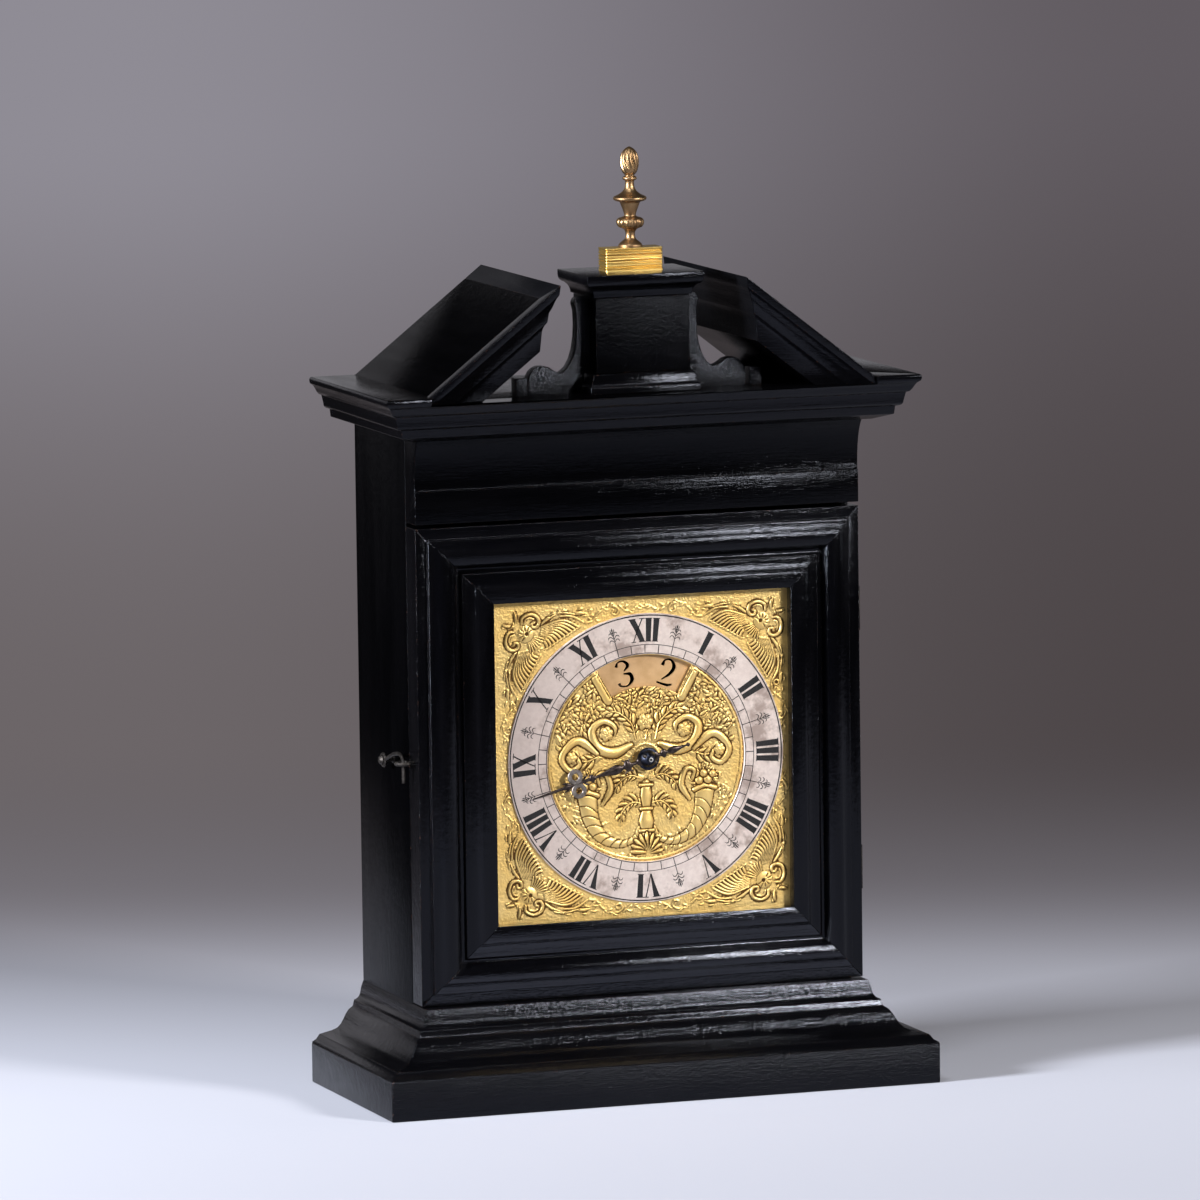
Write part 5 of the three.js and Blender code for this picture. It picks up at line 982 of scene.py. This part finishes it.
def make_hand():
    outline = pairs(
        -27, 0.3, -26.6, 1, -26, 1.35, -25.3, 1, -24.6, 0.6, -22.5, 0.75, -19.5, 1.5, -16.5, 2.25, -14.5, 1.9,
        -12.6, 1, -11.6, 1.3, -10.8, 2.6, -10, 2.8, -9.2, 2.4, -8.4, 1.3, -7.2, 1.1, -6.4, 2.2, -5, 4.4, -3, 5.7,
        0, 6.3, 3, 5.7, 5, 4.4, 6.4, 2.2, 7.4, 1.2, 9.2, 1.1, 10.6, 1.5, 11.6, 3.1, 12.6, 3.5, 13.4, 3.9, 14.3, 3.3,
        15.3, 1.6, 16.6, 1.5, 18.2, 2.4, 20.6, 3, 23, 2.6, 26, 1.8, 29, 1.2, 32, 0.95, 34.2, 1.1, 35.2, 2.2, 36, 2.6,
        36.8, 2.2, 37.8, 1.2, 39.5, 1, 42, 1, 46, 1.1, 50, 1.2, 52.5, 1.5, 54.5, 1.1, 57, 0.9, 62, 0.8, 68, 0.6,
        72, 0.42, HAND_LENGTH, 0.22)
    path = [(along, max(wide, 0.15)) for along, wide in smooth_path(outline, 300)]
    stations = [(along, 0, wide, min(HAND_HALF_THICK, 0.4 + 0.42 * wide)) for along, wide in path]
    parts, loops = [rounded_bar(stations)], []
    thick = HAND_HALF_THICK
    section = pairs(-thick, 0.5, -thick, -0.6, -1.0, -0.9, 1.0, -0.9, thick, -0.6, thick, 0.5)
    loop_along, loop_across, loop_radius = 45.8, 4.3, 3.3
    for side in (1, -1):
        rings = []
        for i in range(44):
            a = TAU * i / 44
            rings.append([hand_point(side * loop_across + (loop_radius + r) * math.sin(a),
                                     loop_along + (loop_radius + r) * math.cos(a), HAND_Y + y) for r, y in section])
        loops.append(loft(rings, closed=True))
        for start, end, out in ((50, 54.5, 2.6), (41.6, 38.4, 2.8), (12.8, 10.4, 4.2), (13.6, 16.0, 4.2)):
            leaf = smooth_path([(start, side * 1.0, 0.6, 0.6), ((start + end) / 2, side * out * 0.75, 0.8, 0.7),
                                (end, side * out, 0.2, 0.3)], 14)
            parts.append(rounded_bar(leaf, 10))
    add_piece("hour_hand_filed", merged(parts), hand_steel, "hour_work", "hour_hand", smooth=50)
    # the loops carry the lighter steel, a painted sheen
    add_piece("hand_loops", merged(loops), loop_steel_painted_sheen, "hour_work", "hour_hand", smooth=40)


def make_collet():
    """The collet's dome, the hand's boss round it, and the blued and bright end of the arbor."""
    collet_low, collet_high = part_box("hand_collet")
    back, top = collet_high.y / MM, collet_low.y / MM
    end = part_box("hour_wheel")[0].y / MM
    dome = [(2.14, back), (5.2, back), *fillet_curve((5.2, back - 0.3), (4.9, top - 0.2), (2.5, end + 0.1), 9),
            (2.14, end + 0.1)]
    boss = [(3.0, HAND_Y + 0.9), (6.3, HAND_Y + 0.9), (6.75, HAND_Y),
            *fillet_curve((6.7, HAND_Y - 0.9), (6.3, back - 0.2), (4.9, back - 0.55), 8), (3.0, back - 0.2)]
    blued_end = [(2.1, end + 0.2), (2.1, end - 0.12), (1.2, end - 0.3)]
    bright_end = [(1.35, end), (1.35, end - 0.36), (0.75, end - 0.42), (0.7, end - 0.1)]
    centre = (DIAL_X, 0, DIAL_Z)
    add_piece("hand_collet_domed", turned_ring(dome, 48), dome_steel, "hour_work", "hand_collet")
    add_piece("hand_boss", turned_ring(boss, 64), dome_steel, "hour_work")
    add_piece("arbor_end_blued", lathe(blued_end, centre, "y", 32), dome_steel, "hour_work")
    add_piece("arbor_end_bright", lathe(bright_end, centre, "y", 24), bright_steel, "hour_work")


# Finial and its block

def make_finial():
    low, high = (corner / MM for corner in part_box("finial"))
    centre = ((low.x + high.x) / 2, (low.y + high.y) / 2, low.z)
    height = high.z - low.z
    shape = pairs(
        0, 7, 0.02, 7, 0.035, 6.5, 0.055, 5.2, 0.08, 3.4, 0.11, 2.8, 0.14, 2.8, 0.165, 3.3, 0.185, 4.6, 0.205, 7.2,
        0.25, 8.3, 0.285, 7.3, 0.3, 4.8, 0.31, 3.6, 0.33, 3.5, 0.37, 4.2, 0.41, 5.1, 0.44, 5.8, 0.452, 6.4, 0.46, 8.3,
        0.472, 9.5, 0.487, 9.75, 0.5, 9.5, 0.512, 8.2, 0.525, 6.6, 0.54, 5.3, 0.56, 4, 0.59, 3, 0.63, 2.6, 0.66, 2.8,
        0.672, 3.9, 0.686, 4.2, 0.7, 3.8, 0.708, 2.9, 0.722, 3, 0.74, 4, 0.78, 5.1, 0.83, 5.5, 0.88, 5.4, 0.93, 4.7,
        0.965, 3.3, 0.985, 2, 1, 0.4)
    fine = smooth_path([(place * height, radius) for place, radius in shape], 220)

    def lobes(place, angle):
        """Twelve gadroons on the cup and eight twisted tongues on the flame."""
        share = place / height
        if 0.17 < share < 0.3:
            return 1 - 0.1 * (1 - abs(math.cos(6 * angle))) * math.sin(math.pi * (share - 0.17) / 0.13)
        if 0.722 < share < 0.985:
            turn = angle + 1.3 * (share - 0.72)
            cut = abs(math.cos(4 * turn + 2.2 * math.sin(9 * (share - 0.72)))) ** 6
            return 1 - 0.17 * cut * math.sin(math.pi * (share - 0.722) / 0.263)
        return 1

    mesh = lathe([(radius, place) for place, radius in fine], centre, "z", 128, lobes)
    add_piece("finial_chased", mesh, smooth_gilt, "case", "finial", smooth=60)


def make_finial_block():
    """A block with grooves of several depths all round it, and its upright arrises taken off."""
    low, high = (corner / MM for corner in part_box("finial_block"))
    middle_x, middle_y = (high.x + low.x) / 2, (high.y + low.y) / 2
    grooves = pairs(0.1, 0.5, 0.2, 0.75, 0.34, 0.4, 0.46, 0.7, 0.58, 0.5, 0.72, 0.8, 0.84, 0.45, 0.92, 0.35)
    arris, half_groove = 0.5, 0.03
    rings = []
    for place in np.linspace(0, 1, 73):
        inset = max(depth * max(0, 1 - abs(place - middle) / half_groove) for middle, depth in grooves)
        wide, deep = (high.x - low.x) / 2 - inset, (high.y - low.y) / 2 - inset
        z = low.z + place * (high.z - low.z)
        rings.append([(middle_x + sx * (wide - arris * t), middle_y + sy * (deep - arris * (1 - t)), z)
                      for sx, sy in ((1, 1), (-1, 1), (-1, -1), (1, -1)) for t in ((0, 1) if sx == sy else (1, 0))])
    add_piece("finial_block_reeded", loft(rings), block_gilt, "case", "finial_block")


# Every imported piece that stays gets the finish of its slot; the plate behind the chasing and the wheels are brass

def finish_packed_pieces():
    slot_finish = {"blued_steel": hand_steel, "steel": bright_steel, "wrought_iron": black_iron,
                   "copper": lamp_copper, "lead": bob_lead}
    slots = {name: node.data.materials[0].name for name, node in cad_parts.items()}
    for name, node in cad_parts.items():
        node.data.materials.clear()
        node.data.materials.append(slot_finish.get(slots[name], plain_brass).material)


# Floor, backdrop and light

def make_floor():
    """A pale table that darkens behind the clock as painted shade, and farther back glows as painted light, lighter
    on the left and darker on the right; reflections find the room dark on the left and in front.
    """
    floor = bpy.data.objects.new("floor", bpy.data.meshes.new("floor"))
    floor.data.from_pydata([(-60, -60, 0), (60, -60, 0), (60, 60, 0), (-60, 60, 0)], [], [(0, 1, 2, 3)])
    floor.rotation_euler.z = AZIMUTH
    paper = Finish("pale_paper", "ebonised_wood", Roughness=0.9, Specular_IOR_Level=0.1)
    sideways, away = (paper.along(paper.place(), axis) for axis in ("X", "Y"))
    camera_away = 6170
    across = sideways / (away + camera_away)
    seen = paper.node("LightPath", {}, {}, "Is Camera Ray")
    open_side = paper.maths("MAXIMUM", across.range(-0.09, -0.062), seen)
    open_front = paper.maths("MAXIMUM", away.range(-950, -520), seen)
    # painted shade: the table's colour is darker close in front and darkens again behind the clock, as the light
    # falls off
    near = paper.blend(away.range(-500, 100), (0.43, 0.433, 0.485), (0.54, 0.545, 0.61))
    pale = paper.blend(away.range(-60, 820), near, (0.19, 0.175, 0.19))
    table = paper.blend(open_front, (0.03, 0.029, 0.031), pale)
    dark_side = (0.012, 0.011, 0.012)
    paper.set(Base_Color=paper.blend(open_side, dark_side, table))
    # painted light: beyond 350 mm behind the clock the floor glows, brighter on the left and with a painted shade to
    # the right
    left = paper.blend(away.range(1500, 7000), (0.15, 0.132, 0.138), (0.275, 0.262, 0.3))
    right = paper.blend(away.range(1500, 8000), (0.074, 0.062, 0.065), (0.12, 0.105, 0.118))
    wall = paper.blend(open_side, dark_side, paper.blend(across.range(-0.05, 0.056), left, right))
    painted_glow = paper.node("Emission", {}, {"Color": wall})
    surface = Value(paper, paper.shader.outputs[0])
    mixed = paper.node("MixShader", {}, {0: away.range(350, 1500), 1: surface, 2: painted_glow})
    paper.feed(paper.tree.nodes["Material Output"].inputs["Surface"], mixed)
    floor.data.materials.append(paper.material)
    bpy.context.collection.objects.link(floor)


def hang_lights():
    for name, place, aim, size, power, colour in (
            ("key_light", (1.5, -2.2, 1.35), (0, 0, 0.28), 0.5, 78, (1, 0.985, 0.97)),
            ("top_light", (-0.5, -0.7, 1.9), (0, 0, 0.2), 0.4, 9, (0.93, 0.96, 1)),
            ("left_light", (-2.5, -0.45, 0.95), (0, 0, 0.15), 0.6, 185, (0.9, 0.94, 1)),
            ("right_light", (2.4, -0.5, 0.8), (0, 0, 0.3), 0.4, 3, (0.9, 0.94, 1))):
        lamp = bpy.data.objects.new(name, bpy.data.lights.new(name, "AREA"))
        lamp.data.shape = "SQUARE"
        lamp.data.size = size
        lamp.data.energy = power
        lamp.data.color = colour
        lamp.location = place
        lamp.rotation_euler = (Vector(aim) - Vector(place)).to_track_quat("-Z", "Y").to_euler()
        bpy.context.collection.objects.link(lamp)


def light_world():
    """A nearly dark room; glossy surfaces also find a dim wall behind the clock, low down."""
    world = bpy.data.worlds.new("studio")
    bpy.context.scene.world = world
    world.use_nodes = True
    room = Graph(world.node_tree)
    background = room.tree.nodes["Background"]
    background.inputs["Color"].default_value = (0.95, 0.93, 1, 1)
    place = room.node("TexCoord", {}, {}, "Generated")
    behind = room.along(place, "Y").range(0.3, 1, 0, 0.28, "LINEAR")
    low = room.along(place, "Z").range(0.3, 0.18, 0, 1, "LINEAR")
    glossy = room.node("LightPath", {}, {}, "Is Glossy Ray")
    room.feed(background.inputs["Strength"], behind * low * glossy + 0.02)


finish_packed_pieces()
finish_timber()
make_dial_corners()
make_dial_centre()
make_chapter_ring()
make_numeral_disc()
make_hand()
make_collet()
make_finial()
make_finial_block()
make_floor()
hang_lights()
light_world()
bpy.context.scene.view_settings.view_transform = "Standard"
